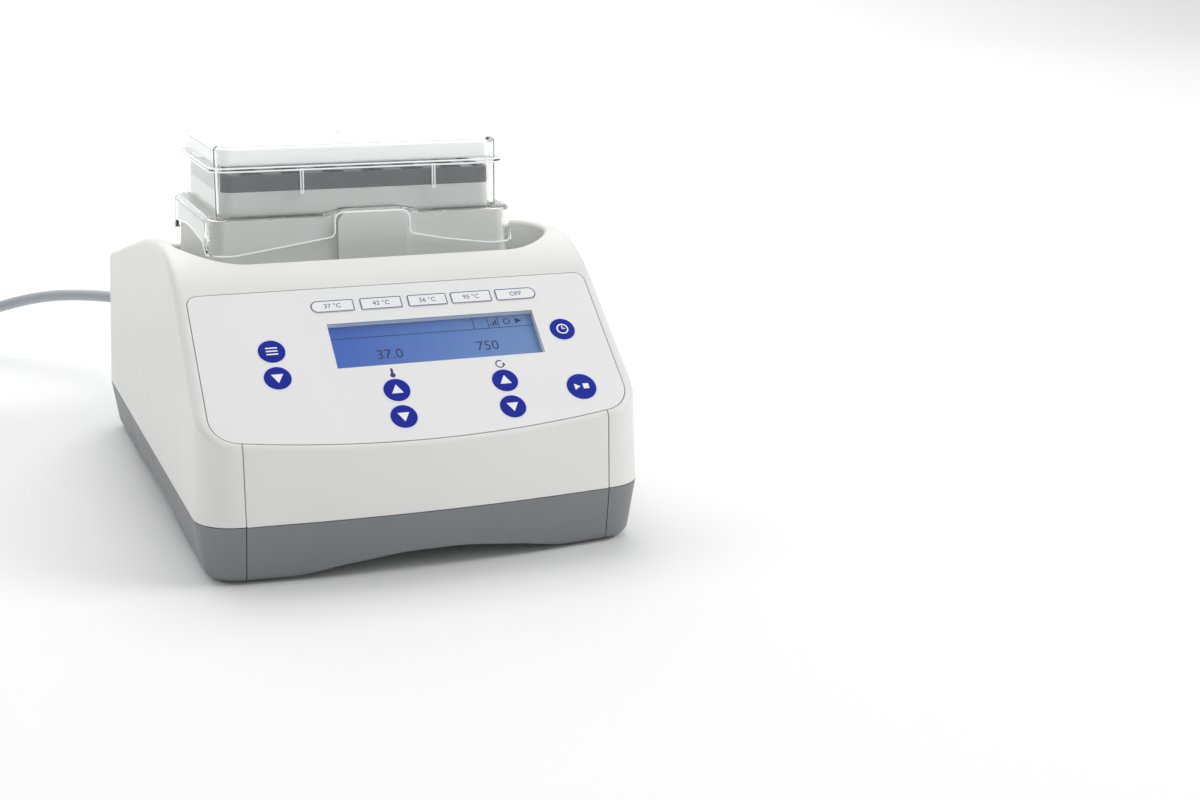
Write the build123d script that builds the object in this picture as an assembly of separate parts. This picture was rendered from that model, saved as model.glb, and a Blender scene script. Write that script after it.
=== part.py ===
from build123d import *
import math
import os

# Thermal mixer: a heated block of 24 tube wells that orbits inside a moulded bench-top housing.
# Millimetres. X is to the right of someone facing the keypad, the front is -Y, Z is up.
# The origin is the middle of the footprint, at the level of the bench.

# ---------------------------------------------------------------- driving dimensions

# Housing
WIDTH = 206.0               # across the flanks at the parting line
DEPTH = 304.0               # middle of the front bow to the rear wall, at the parting line
PARTING_Z = 27.5            # top of the grey base, bottom of the white housing
DRAFT = 2.5                 # housing walls lean in by this many degrees
BASE_TAPER = 9.0            # base walls lean in downwards by this many degrees
BASE_EDGE_R = 5.0           # bottom edge of the base
FRONT_RADIUS = 700.0        # bow of the front wall in plan
FRONT_CORNER_R = 19.0
REAR_CORNER_R = 17.0
EDGE_R = 4.0                # rounding where the flanks meet the top
WALL = 3.0                  # housing wall
BASE_WALL = 3.0
SEAM = 0.4                  # width of every seam groove
SEAM_INSET = 19.5           # seams between the front covers and the flanks, from each flank
COVER_T = 1.7               # thickness of the front covers
COVER_REACH = 16.0          # how far back the covers' ends may reach from the front

# Top profile of the housing, seen from the side
PANEL_SLOPE = 40.5          # degrees from level
PANEL_SET = 8.9             # lower edge of the keypad at the seams, behind the front
PANEL_Z = 64.2
CREST_Z = 131.5
CREST_FRONT_R = 62.0
CREST_REAR_R = 330.0
BACK_SLOPE = 12.4           # degrees that the top falls to the rear
CREST_RUN = 61.0            # from where the slope meets the crest level to where the top starts to fall

# Feet and arches
FOOT_T = 1.3
FOOT_R = 8.0
FOOT_INSET_X = 21.0
FOOT_INSET_Y = 26.0
ARCH_RISE = 9.5             # height of the arch under the front and rear edges
ARCH_SET = 13.0             # end of that arch to the middle of a foot
SIDE_ARCH_RISE = 9.5
SIDE_ARCH_SET = 22.0
ARCH_HIP = 0.62             # the arch's bends, as shares of its half span
ARCH_CROWN = 0.2
ARCH_HIP_RISE = 0.48        # height at the outer bend, as a share of the rise
ARCH_HIP_R = 0.8            # radii of the bends, as shares of the half span
ARCH_CROWN_R = 1.6
VENT_LENGTH = 34.0
VENT_WIDTH = 3.0
VENT_PITCH = 9.0
VENT_COUNT = 7
VENT_SET = 70.8             # middle of the vents in front of the motor axis

SCREW_INSET = 12.0          # screws that hold the base to the housing
SCREW_INSET_Y = (34.0, 24.0)
SCREW_R = 2.0
SCREW_HEAD_R = 3.6
SCREW_HEAD_T = 3.0
SCREW_BITE = 14.0           # length of screw in the housing's boss
SLEEVE_R = 5.2
SLEEVE_FIT = 0.15

# Power supply
SUPPLY_Z = 20.0
SUPPLY_T = 1.6
SUPPLY_SIZE = (150.0, 50.0)
SUPPLY_SET = 40.0           # middle of the board in front of the rear wall
SUPPLY_POST_R = 4.0
SUPPLY_POST_INSET = 6.0
TRANSFORMER_SIZE = (42.0, 36.0, 30.0)
TRANSFORMER_X = 44.0
TRANSFORMER_EDGE = 3.0

# Keypad
PANEL_LENGTH = 80.0         # up the slope
PANEL_MARGIN_TOP = 8.8      # keypad's upper corners to the flank at the parting line
PANEL_MARGIN_LOW = 7.3
PANEL_TOP_R = 5.0
PANEL_LOW_R = 13.0
PANEL_T = 2.0
PANEL_LEDGE = 4.0           # width of the ledge that the panel is stuck to
WINDOW_X = (-34.7, 63.1)
WINDOW_S = (34.7, 59.5)
WINDOW_T = 0.6
LCD_DEPTH = 3.0             # display face below the panel face
LCD_RIM = 4.0
LCD_T = 6.0
BOARD_DEPTH = 13.0          # board face below the panel face
BOARD_T = 1.6
POST_R = 2.6
KEY_R = 5.92
KEY_START_R = 6.91
KEY_GAP = 0.15              # between a key and its hole
KEY_PROUD = 0.3
KEY_TRAVEL = 0.6
KEY_FLANGE = 0.8
KEY_STEM_R = 1.8
SWITCH_SIZE = 6.0
SWITCH_T = 3.0
BOARD_POST_SET = 18.0       # posts of the board at the sides, from the flanks
BOARD_POST_LOW_S = 12.0
BOARD_POST_MID_S = 30.0
BOARD_POST_HIGH_S = 65.0
BOARD_POSTS_WITHIN = [(14.0, 14.0), (-44.0, 20.0)]
LEFT_KEYS_SET = 41.0        # keys at the sides, from the flanks
RIGHT_KEYS_SET = 28.0
ROUND_KEYS = {
    "key_menu": (LEFT_KEYS_SET - WIDTH / 2, 46.7, KEY_R),
    "key_down": (LEFT_KEYS_SET - WIDTH / 2, 32.1, KEY_R),
    "key_temp_up": (-10.9, 20.5, KEY_R),
    "key_temp_down": (-10.9, 6.1, KEY_R),
    "key_speed_up": (39.8, 20.7, KEY_R),
    "key_speed_down": (39.8, 6.2, KEY_R),
    "key_short": (WIDTH / 2 - RIGHT_KEYS_SET, 47.0, KEY_R),
    "key_start_stop": (WIDTH / 2 - RIGHT_KEYS_SET, 13.7, KEY_START_R),
}
PRESET_S = 69.5             # middle of the row of preset keys
PRESET_H = 6.5
PRESET_R = 0.8
PRESET_KEYS = {
    "key_preset_1": (-40.0, -20.2),
    "key_preset_2": (-17.0, 2.3),
    "key_preset_3": (5.4, 23.9),
    "key_preset_4": (26.1, 45.5),
    "key_preset_off": (47.9, 67.6),
}
PRESET_ENDS = {"key_preset_1": -1, "key_preset_off": 1}     # side on which a preset key ends in a half round

# Drive
DRIVE_SET = 162.8           # motor axis behind the front
ORBIT_R = 1.5               # the block travels on a circle of this radius
FIT = 0.04                  # radial clearance of a shaft in its bearing
GUIDE_FIT = 0.15            # radial clearance of a guide pin in the table
SHAFT_R = 4.0
SHAFT_PLAY = 1.5            # between the shaft and the hub's bore
BEARING_R = 11.0
BEARING_T = 7.0
GUIDE_R = 3.0
GUIDE_BEARING_R = 6.5
GUIDE_BEARING_T = 5.0
GUIDE_PLACES = ((-46.0, -20.0), (46.0, -20.0), (46.0, 20.0))
CHASSIS_Z = 60.0
CHASSIS_T = 6.0
CHASSIS_SIZE = (156.0, 96.0)
CHASSIS_R = 8.0
CHASSIS_LEG_X = 70.0
CHASSIS_LEG_Y = 38.0
CHASSIS_LEG_R = 6.0
HUB_R = 15.0
HUB_LOW_Z = 36.0
HUB_TOP_Z = 78.0
GUIDE_BOSS_R = 9.5
GUIDE_TOP_Z = 86.0
WEB_R = 12.0
CLAMP_WALL = 3.0            # counterweight's ring round the web
WEB_T = 5.0
GUIDE_WEB_R = 6.5
GUIDE_WEB_T = 3.0
COUNTERWEIGHT_R = 30.0
COUNTERWEIGHT_ARC = 150.0   # degrees of the counterweight's sector
ROTOR_WALL = 2.5
ROTOR_HUB_R = 8.0
ROTOR_HUB_T = 3.0
STATOR_R = 30.0
STATOR_T = 14.0
STATOR_YOKE = 4.0
STATOR_TEETH = 12
TOOTH_WIDTH = 4.0
GAP = 0.5                   # clearance between inner pieces that turn and those that do not

# Well and table
WELL_MARGIN = 12.5          # side of the well to the flank at the parting line
WELL_HALF_Y = 74.8
WELL_CORNER_R = 29.0
WELL_WALL = 2.5
WELL_LIP_R = 2.0
TRAY_Z = 92.0
TRAY_T = 2.5
TRAY_LEDGE = 6.0
TABLE_Z = 97.0
TABLE_T = 8.0
TABLE_MARGIN = 8.4          # edge of the table inside the body's foot

# Block
BODY_LEAN = 0.4             # the body widens by this from the collar to the ledge
BODY_FLARE = 2.0            # and by this from the ledge to the table
BODY_R = 6.0
BODY_WALL = 2.5
BODY_FLOOR = 3.0
LEDGE_Z = 141.2
COLLAR_Z = 153.8
COLLAR_TOP_Z = 161.5
TAB_X = 3.7
TAB_HALF = 17.0
TAB_PROUD = 3.5
TAB_RISE = 1.8              # top of the tab above the ledge
TAB_R = 5.0
BLOCK_RIM = (6.4, 4.2)      # metal outside the outer tube wells
BLOCK_Z = 126.0
BLOCK_TOP_Z = 160.5
BLOCK_R = 4.0
TUBE_R = 5.6
TUBE_DEPTH = 30.0
TUBE_TIP = 3.0
TUBE_COLUMNS = 6
TUBE_ROWS = 4
TUBE_PITCH_X = 20.0
TUBE_PITCH_Y = 17.5
BLOCK_POST_R = 5.0
BLOCK_POST_INSET = 7.0
COLLAR_WIDTH = (4.3, 3.3)
HEATER_T = 1.5
SENSOR_R = 2.0
SENSOR_LENGTH = 24.0

# Lid
LID_WALL = 1.8
LID_CLEAR = 0.4             # between the lid's box and the body
LID_SHOULDER = 6.2          # width of the step from the box to the skirt
SKIRT_CLEAR = 1.2           # between the lid's skirt and the body
LID_SKIRT_FLARE = 0.7
LID_TOP_Z = 176.2
LID_FLANGE_Z = 164.2
LID_FLANGE_T = 1.6
LID_FLANGE_PROUD = 2.8
LID_CORNER_R = 5.0
LID_EDGE_R = 2.8            # rounds along the lid's top and shoulder
LID_BRIDGE_GAP = 0.4        # between the tab and the shoulder, which rises over it
LID_BRIDGE_RUN = 10.0       # length over which the shoulder rises
LID_BRIDGE_R = 14.0
LID_TAB_GAP = 1.5           # between the tab and the skirt beside it
GATE_R = 2.6                # moulding mark on the lid
GATE_DEPTH = 0.4
GATE_SET = 3.0
SKIRT_LOW_Z = 125.0
SKIRT_HIGH_Z = 132.0
SKIRT_SIDE_Z = 133.5
SKIRT_END_RISE = 1.5        # rise of the skirt's edge at the lid's corners
SKIRT_DIP_SET = 12.0        # lowest point of the front edge, from the lid's side
SKIRT_BEND_SET = 36.0       # bend between that point and the tab
SKIRT_BEND_RISE = 3.4
SKIRT_RADII = (25.0, 40.0, 3.0, 4.0)
SKIRT_SIDE_SET = 9.0        # bends of the side edges, from the lid's front and rear
SKIRT_SIDE_DROP = 3.0
SKIRT_SIDE_RADII = (8.0, 120.0, 8.0)
SKIRT_CORNER = 2.0          # wall left at the lid's corners
RIB_OFFSET = 32.6
RIB_T = 1.2
RIB_PROUD = 1.0
INSERT_T = 8.2
INSERT_GAP = 0.4
INSERT_R = 5.0
INSERT_EDGE_R = 1.2

# Mains side
INLET_X = -62.0
INLET_Z = 46.0
INLET_FLANGE = (30.0, 24.0)
INLET_PROUD = 0.8
INLET_CAVITY = (24.4, 16.4)
INLET_CAVITY_DEPTH = 16.0
INLET_BODY_DEPTH = 26.0
INLET_SHELL = 1.5
PIN_SIZE = (4.0, 2.0)
PIN_LENGTH = 13.0
PIN_SPREAD = 7.0
PIN_RISE = 2.0
PIN_PLAY = 0.6
ROCKER_X = -24.0
ROCKER_SIZE = (19.0, 13.0)
ROCKER_BEZEL = 2.0
ROCKER_DEPTH = 16.0
ROCKER_TILT = 7.0
ROCKER_PIVOT_R = 1.2
ROCKER_AXIS_DEPTH = 7.0
ROCKER_TOP = 5.2            # from the rocker's pivot to the ends of its face
ROCKER_DISH = 1.0
ROCKER_RELIEF = 0.4
ROCKER_CHEEK = 1.0
ROCKER_KEEL = 4.5
ROCKER_KEEL_HALF = 1.5
FUSE_X = 2.0
FUSE_SIZE = (17.0, 13.0)
FUSE_BEZEL = 2.0
FUSE_DEPTH = 32.0
FUSE_R = 2.5
FUSE_LENGTH = 20.0
FUSE_PLAY = 1.0
FUSE_NOTCH_R = 2.0
REAR_FIT = 0.2
FRAME_WALL = 1.5
ROCKER_GAP = 1.0

# Mains lead
CORD_D = 7.0
CORD_Z = CORD_D / 2
BEND_SHARE = 0.45           # share of a run of the lead that a bend takes up
CONNECTOR_SIZE = (23.6, 15.6)
CONNECTOR_GRIP = (26.0, 19.0)
CONNECTOR_GRIP_R = 4.0
CONNECTOR_IN = 15.0
CONNECTOR_OUT = 20.0
RELIEF_ROOT = 3.0           # how much thicker than the lead a strain relief is at its ends
RELIEF_TIP = 0.8
CORD_ROUTE = [
    (-62.0, 201.0, 46.0),
    (-62.0, 229.0, 46.0),
    (-71.0, 261.0, 47.4),
    (-94.0, 289.0, 47.0),
    (-122.0, 317.0, 43.0),
    (-154.0, 343.0, 31.0),
    (-188.0, 362.0, 15.0),
    (-221.0, 368.0, CORD_Z),
    (-246.0, 366.5, CORD_Z),
]
COIL_CENTRE = (-246.0, 316.0)
COIL_OUTER_R = 54.0
COIL_INNER_R = 26.0
COIL_HEIGHT = 2 * CORD_D
COIL_EDGE_R = 3.0
TAIL_ROUTE = [
    (-296.5, 316.0, 11.5),
    (-296.0, 297.0, 12.5),
    (-290.0, 278.0, 15.5),
    (-280.0, 261.0, 18.0),
    (-268.0, 245.0, 18.2),
]
TIE_ANGLE = 320.0
TIE_FIT = 0.3
TIE_WIDTH = 6.0
TIE_T = 1.0
PLUG_R = 18.0
PLUG_WAIST = 16.0
PLUG_WAIST_R = 17.5
PLUG_ROOT_R = 11.0
PLUG_LENGTH = 36.0
PLUG_RELIEF_LENGTH = 26.0
PLUG_PIN_R = 2.4
PLUG_PIN_LENGTH = 19.0
PLUG_PIN_SPREAD = 9.5

# ---------------------------------------------------------------- derived places

FOOT_Z = FOOT_T
FRONT_Y = -DEPTH / 2
REAR_Y = DEPTH / 2
DRIVE_Y = FRONT_Y + DRIVE_SET
VENT_Y = DRIVE_Y - VENT_SET
SUPPLY_Y = REAR_Y - SUPPLY_SET
FOOT_X = WIDTH / 2 - FOOT_INSET_X
FOOT_Y = DEPTH / 2 - FOOT_INSET_Y
ARCH_HALF = FOOT_X - ARCH_SET
SIDE_ARCH_HALF = FOOT_Y - SIDE_ARCH_SET
SEAM_X = WIDTH / 2 - SEAM_INSET
SCREW_X = WIDTH / 2 - SCREW_INSET
PANEL_Y = FRONT_Y + PANEL_SET
PANEL_HALF_TOP = WIDTH / 2 - PANEL_MARGIN_TOP
PANEL_HALF_LOW = WIDTH / 2 - PANEL_MARGIN_LOW
WELL_HALF_X = WIDTH / 2 - WELL_MARGIN
WELL_FRONT_Y = DRIVE_Y - WELL_HALF_Y
WELL_REAR_Y = DRIVE_Y + WELL_HALF_Y
LEAN = math.tan(math.radians(DRAFT))
SLOPE = math.radians(PANEL_SLOPE)
PANEL = Plane(
    origin=(0, PANEL_Y, PANEL_Z),
    x_dir=(1, 0, 0),
    z_dir=(0, -math.sin(SLOPE), math.cos(SLOPE)),
)
SEAM_SAGITTA = FRONT_RADIUS - math.sqrt(FRONT_RADIUS ** 2 - SEAM_X ** 2)
BLOCK_Y = DRIVE_Y + ORBIT_R
TABLE_TOP_Z = TABLE_Z + TABLE_T
ROTOR_R = STATOR_R + GAP + ROTOR_WALL
ROTOR_LOW_Z = HUB_LOW_Z - GAP - ROTOR_HUB_T - ROTOR_WALL
STATOR_Z = HUB_LOW_Z + GAP
WEB_Z = HUB_TOP_Z + GAP
GUIDE_WEB_Z = GUIDE_TOP_Z + GAP


def grown(half, *amounts):
    """Half sizes made larger by each amount, on every side or as an x and y pair."""
    x, y = half
    for amount in amounts:
        pair = amount if isinstance(amount, tuple) else (amount, amount)
        x += pair[0]
        y += pair[1]
    return (x, y)


TUBE_SPAN = ((TUBE_COLUMNS - 1) / 2 * TUBE_PITCH_X, (TUBE_ROWS - 1) / 2 * TUBE_PITCH_Y)
BLOCK_HALF = grown(TUBE_SPAN, TUBE_R, BLOCK_RIM)
BRIDGE_RISE = TAB_RISE + LID_BRIDGE_GAP
BODY_HALF_TOP = grown(BLOCK_HALF, GAP, COLLAR_WIDTH)
BODY_HALF_LEDGE = grown(BODY_HALF_TOP, BODY_LEAN)
LID_HALF = grown(BODY_HALF_LEDGE, LID_CLEAR, LID_WALL)
LID_SKIRT_HALF = grown(LID_HALF, LID_SHOULDER)
BODY_HALF_SKIRT = grown(LID_SKIRT_HALF, -LID_WALL, -SKIRT_CLEAR)
BODY_HALF_LOW = grown(BODY_HALF_SKIRT, BODY_FLARE)
TABLE_HALF = grown(BODY_HALF_LOW, -TABLE_MARGIN)
BLOCK_POST = grown(BLOCK_HALF, -BLOCK_POST_INSET)


def rear_y(z):
    """Y of the outside of the drafted rear wall at height z."""
    return REAR_Y - (z - PARTING_Z) * LEAN


def rounded(half_x, half_y, radius, y=0.0):
    """Rounded rectangle about x = 0, given by half sizes."""
    return Pos(0, y) * RectangleRounded(2 * half_x, 2 * half_y, radius)


def slab(sketch, z_low, z_high):
    """Straight prism of a sketch between two heights."""
    return extrude(Plane.XY.offset(z_low) * sketch, z_high - z_low)


def tapered(low, high, z_low, z_high, radius, y=0.0):
    """Prism between two rounded rectangles given by half sizes."""
    faces = [
        Plane.XY.offset(z_low) * rounded(low[0], low[1], radius, y),
        Plane.XY.offset(z_high) * rounded(high[0], high[1], radius, y),
    ]
    return loft(faces)


# ---------------------------------------------------------------- housing forms

def plan_outline(inset=0.0):
    """Plan of the housing at the parting line, moved in by inset."""
    half = WIDTH / 2 - inset
    radius = FRONT_RADIUS - inset
    front = FRONT_Y + inset
    drop = radius - math.sqrt(radius ** 2 - half ** 2)
    rear = REAR_Y - inset
    bow = ThreePointArc((-half, front + drop), (0, front), (half, front + drop))
    rest = Polyline((half, front + drop), (half, rear), (-half, rear), (-half, front + drop))
    face = make_face(bow.edges() + rest.edges())
    corners = face.vertices().sort_by(Axis.Y)
    face = fillet(corners[:2], FRONT_CORNER_R - inset)
    corners = face.vertices().group_by(Axis.Y)[-1]
    return fillet(corners, REAR_CORNER_R - inset)


def top_profile(inset=0.0):
    """Side view of the housing's top, as a face in the YZ plane, moved in by inset."""
    crest = CREST_Z - inset
    shift = inset / math.cos(SLOPE)
    fall = math.tan(math.radians(BACK_SLOPE))
    back_shift = inset / math.cos(math.radians(BACK_SLOPE))
    reach = DEPTH
    front_z = PANEL_Z - shift + (-reach - PANEL_Y) * math.tan(SLOPE)
    crest_y = PANEL_Y + (crest - PANEL_Z + shift) / math.tan(SLOPE)
    full_crest_y = PANEL_Y + (CREST_Z - PANEL_Z) / math.tan(SLOPE)
    break_y = full_crest_y + CREST_RUN + (CREST_Z - crest - back_shift) / fall
    rear_z = crest - (reach - break_y) * fall
    points = [(-reach, front_z), (crest_y, crest), (break_y, crest), (reach, rear_z)]
    radii = [CREST_FRONT_R - inset, CREST_REAR_R - inset]
    roof = FilletPolyline(points, radius=radii)
    floor = Polyline((reach, rear_z), (reach, front_z), (-reach, front_z))
    return Plane.YZ * make_face(roof.edges() + floor.edges())


def housing_form(inset=0.0):
    """Closed outer form of the white housing, with its walls and top moved in by inset."""
    plan = Plane.XY.offset(PARTING_Z) * plan_outline(inset)
    walls = extrude(plan, CREST_Z, taper=DRAFT)
    crown = extrude(top_profile(inset), WIDTH, both=True)
    return walls & crown


def base_form(inset=0.0):
    """Closed outer form of the grey base, with its walls and floor moved in by inset."""
    plan = Plane.XY.offset(PARTING_Z) * plan_outline(inset)
    height = PARTING_Z - FOOT_Z - inset
    form = extrude(plan, -height, taper=BASE_TAPER)
    rim = form.faces().sort_by(Axis.Z)[0].edges()
    return fillet(rim, max(BASE_EDGE_R - inset, 1.0))


def arch_profile(half, rise, centre, thickness):
    """Outline of the gap under an arch whose crown is raised by thickness."""
    low = -FOOT_Z
    foot = FOOT_Z + thickness
    top = foot + rise - FOOT_Z
    spring = foot - FOOT_Z / 2
    hip = foot + rise * ARCH_HIP_RISE
    points = [
        (centre - half - thickness, low),
        (centre - half - thickness, spring),
        (centre - half * ARCH_HIP, hip),
        (centre - half * ARCH_CROWN, top),
        (centre + half * ARCH_CROWN, top),
        (centre + half * ARCH_HIP, hip),
        (centre + half + thickness, spring),
        (centre + half + thickness, low),
    ]
    hip_r = half * ARCH_HIP_R
    crown_r = half * ARCH_CROWN_R
    radii = [0, hip_r, crown_r, crown_r, hip_r, 0]
    roof = FilletPolyline(points, radius=radii)
    return make_face(roof.edges() + Line(points[-1], points[0]).edges())


def arch_gaps(thickness=0.0):
    """Space under the front-to-rear arch and the side-to-side arch."""
    front = extrude(Plane.XZ * arch_profile(ARCH_HALF, ARCH_RISE, 0.0, thickness), DEPTH, both=True)
    side = extrude(Plane.YZ * arch_profile(SIDE_ARCH_HALF, SIDE_ARCH_RISE, 0.0, thickness), WIDTH, both=True)
    return front + side


def seam_region(half, z_low, z_high):
    """Box in front of the flanks' seams, where the front covers lie."""
    return Pos(0, FRONT_Y, (z_low + z_high) / 2) * Box(2 * half, 2 * COVER_REACH, z_high - z_low)


# ---------------------------------------------------------------- housing pieces

def top_edges(form):
    """Edges of a housing form where its walls meet its top."""
    roof = [face for face in form.faces() if face.normal_at().Z > 0.2]
    keys = {}
    for face in roof:
        for edge in face.edges():
            place = tuple(round(value, 3) for value in edge.center())
            keys[place] = keys.get(place, 0) + 1
    return [
        edge
        for edge in form.edges()
        if keys.get(tuple(round(value, 3) for value in edge.center())) == 1
    ]


def rounded_housing():
    """Outer form of the housing with its rounded top edges."""
    form = housing_form()
    return fillet(top_edges(form), EDGE_R)


def panel_outline(gap=0.0):
    """Outline of the keypad in its own plane, grown by gap."""
    tilt = math.cos(SLOPE)
    bow_radius = FRONT_RADIUS * tilt
    sagitta = SEAM_SAGITTA / tilt
    low = -sagitta
    side = low + bow_radius - math.sqrt(bow_radius ** 2 - PANEL_HALF_LOW ** 2)
    bow = ThreePointArc((-PANEL_HALF_LOW, side), (0, low), (PANEL_HALF_LOW, side))
    rest = Polyline(
        (PANEL_HALF_LOW, side),
        (PANEL_HALF_TOP, PANEL_LENGTH),
        (-PANEL_HALF_TOP, PANEL_LENGTH),
        (-PANEL_HALF_LOW, side),
    )
    face = make_face(bow.edges() + rest.edges())
    rows = face.vertices().group_by(Axis.Y)
    face = fillet(rows[-1], PANEL_TOP_R)
    low_corners = face.vertices().group_by(Axis.Y)[0]
    face = fillet(low_corners, PANEL_LOW_R)
    return offset(face, gap) if gap else face


def on_panel(sketch, low, high):
    """Prism of a sketch in the keypad's plane, between two heights above its face."""
    plane = PANEL.offset(low)
    return extrude(plane * sketch, high - low)


def key_outlines(gap=0.0):
    """Every key's outline in the keypad's plane, grown by gap, by name."""
    outlines = {}
    for name, (x, s, radius) in ROUND_KEYS.items():
        outlines[name] = Pos(x, s) * Circle(radius + gap)
    for name, (left, right) in PRESET_KEYS.items():
        middle = (left + right) / 2
        width = right - left + 2 * gap
        height = PRESET_H + 2 * gap
        outline = RectangleRounded(width, height, PRESET_R + gap)
        if name in PRESET_ENDS:
            square_end = RectangleRounded(width / 2, height, PRESET_R + gap)
            outline = SlotOverall(width, height) + Pos(-PRESET_ENDS[name] * width / 4, 0) * square_end
        outlines[name] = Pos(middle, PRESET_S) * outline
    return outlines


def key_places():
    """Middle of every key in the keypad's plane, by name."""
    places = {name: (x, s) for name, (x, s, radius) in ROUND_KEYS.items()}
    for name, (left, right) in PRESET_KEYS.items():
        places[name] = ((left + right) / 2, PRESET_S)
    return places


def window_outline(gap=0.0):
    """Outline of the display window in the keypad's plane, grown by gap."""
    width = WINDOW_X[1] - WINDOW_X[0] + 2 * gap
    height = WINDOW_S[1] - WINDOW_S[0] + 2 * gap
    middle = ((WINDOW_X[0] + WINDOW_X[1]) / 2, (WINDOW_S[0] + WINDOW_S[1]) / 2)
    return Pos(*middle) * Rectangle(width, height)


def well_outline(gap=0.0):
    """Plan of the well, grown by gap."""
    depth = WELL_REAR_Y - WELL_FRONT_Y + 2 * gap
    middle = (WELL_REAR_Y + WELL_FRONT_Y) / 2
    return Pos(0, middle) * RectangleRounded(2 * (WELL_HALF_X + gap), depth, WELL_CORNER_R + gap)


def rounded_lip(closed, opened):
    """The opened form with a round where the well's wall meets the top, which the closed form lacks."""
    known = {tuple(round(value, 2) for value in edge.center()) for edge in closed.edges()}
    rim = []
    for edge in opened.edges():
        middle = edge.center()
        if tuple(round(value, 2) for value in middle) in known:
            continue
        level = edge.bounding_box().size.Z < WELL_HALF_Y
        if middle.Z > TRAY_Z + 3 * WELL_WALL and level and abs(edge.tangent_at(0.5).Z) < 0.5:
            rim.append(edge)
    return fillet(rim, WELL_LIP_R)


def upper_housing(form):
    """White moulded shell with the well, the keypad recess and the seat of the front cover."""
    tray_top = TRAY_Z + TRAY_T
    pit = slab(well_outline(), tray_top + WELL_WALL, CREST_Z + WALL)
    form = rounded_lip(form, form - pit)
    well_tube = slab(well_outline(WELL_WALL), tray_top, CREST_Z) & form
    shell = form - housing_form(WALL) + well_tube
    ledge = slab(well_outline(-TRAY_LEDGE), tray_top - 1, tray_top + WELL_WALL)
    shell -= ledge
    seam_plane = PARTING_Z + SEAM
    shell -= slab(Rectangle(2 * WIDTH, 2 * DEPTH), 0, seam_plane)
    recess = on_panel(panel_outline(SEAM), -PANEL_T, PANEL_T * 2)
    opening = on_panel(offset(panel_outline(), -PANEL_LEDGE), -WALL * 3, 0)
    shell -= recess
    shell -= opening
    shell -= front_zone(form, SEAM)
    shell -= rear_cutouts()
    top = PARTING_Z + SEAM + SCREW_BITE + SCREW_R
    for x, y in screw_places():
        rib_x = math.copysign((SCREW_X + WIDTH / 2) / 2, x)
        rib = Pos(rib_x, y) * Rectangle(WIDTH / 2 - SCREW_X, WALL)
        shell += slab(Pos(x, y) * Circle(SLEEVE_R) + rib, seam_plane, top) & form
        shell -= slab(Pos(x, y) * Circle(SCREW_R + SLEEVE_FIT), PARTING_Z, top - SCREW_R)
    return shell


def screw_places():
    """Places of the screws that hold the base to the housing."""
    rows = (FRONT_Y + SCREW_INSET_Y[0], REAR_Y - SCREW_INSET_Y[1])
    return [(x, y) for x in (-SCREW_X, SCREW_X) for y in rows]


def base_screws():
    """Four screws from under the base into the housing's bosses."""
    screws = []
    head_z = screw_head_z()
    for x, y in screw_places():
        head = slab(Pos(x, y) * Circle(SCREW_HEAD_R), head_z, head_z + SCREW_HEAD_T)
        shank = slab(Pos(x, y) * Circle(SCREW_R), head_z, PARTING_Z + SEAM + SCREW_BITE)
        screws.append(head + shank)
    return Compound(children=screws)


def screw_head_z():
    """Underside of the screw heads, sunk in the base."""
    return FOOT_Z + BASE_WALL + SCREW_HEAD_T


def front_zone(form, gap):
    """Skin of the front wall between the seams and below the keypad, grown sideways by gap."""
    skin = form - housing_form(COVER_T)
    box = seam_region(SEAM_X + gap / 2, PARTING_Z, PANEL_Z + 10)
    under = on_panel(Rectangle(4 * WIDTH, 4 * DEPTH), -4 * DEPTH, 0)
    keypad = on_panel(panel_outline(SEAM), -4 * PANEL_T, PANEL_T * 4)
    return (skin & box & under) - keypad


def front_fascia(form):
    """White cover of the front wall, between the seams."""
    cover = front_zone(form, -SEAM)
    return cover - slab(Rectangle(2 * WIDTH, 2 * DEPTH), 0, PARTING_Z + SEAM / 2)


def base_pan():
    """Grey tray under the housing, with arches between its four feet."""
    shell = base_form() - base_form(BASE_WALL) - arch_gaps()
    floor = (base_form() & arch_gaps(BASE_WALL)) - arch_gaps()
    pan = shell + floor
    space = inner_floor()
    for x, y in screw_places():
        pan += slab(Pos(x, y) * Circle(SLEEVE_R), 0, PARTING_Z) & space
        pan -= slab(Pos(x, y) * Circle(SCREW_R + SLEEVE_FIT), 0, PARTING_Z)
        pan -= slab(Pos(x, y) * Circle(SCREW_HEAD_R + SLEEVE_FIT), 0, screw_head_z() + SCREW_HEAD_T)
    for i in range(VENT_COUNT):
        x = (i - (VENT_COUNT - 1) / 2) * VENT_PITCH
        pan -= slab(Pos(x, VENT_Y) * SlotOverall(VENT_LENGTH, VENT_WIDTH, rotation=90), 0, PARTING_Z)
    for x, y in supply_posts():
        pan += slab(Pos(x, y) * Circle(SUPPLY_POST_R), 0, SUPPLY_Z) & space
    zone = seam_region(SEAM_X + SEAM / 2, 0, PARTING_Z)
    pan -= (base_form() - base_form(COVER_T)) & zone
    return pan


def supply_posts():
    """Places of the posts under the power board."""
    half_x = SUPPLY_SIZE[0] / 2 - SUPPLY_POST_INSET
    half_y = SUPPLY_SIZE[1] / 2 - SUPPLY_POST_INSET
    return [(x, SUPPLY_Y + y) for x in (-half_x, half_x) for y in (-half_y, half_y)]


def power_board():
    """Printed board of the power supply, on the base's posts."""
    return slab(Pos(0, SUPPLY_Y) * Rectangle(*SUPPLY_SIZE), SUPPLY_Z, SUPPLY_Z + SUPPLY_T)


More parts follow.
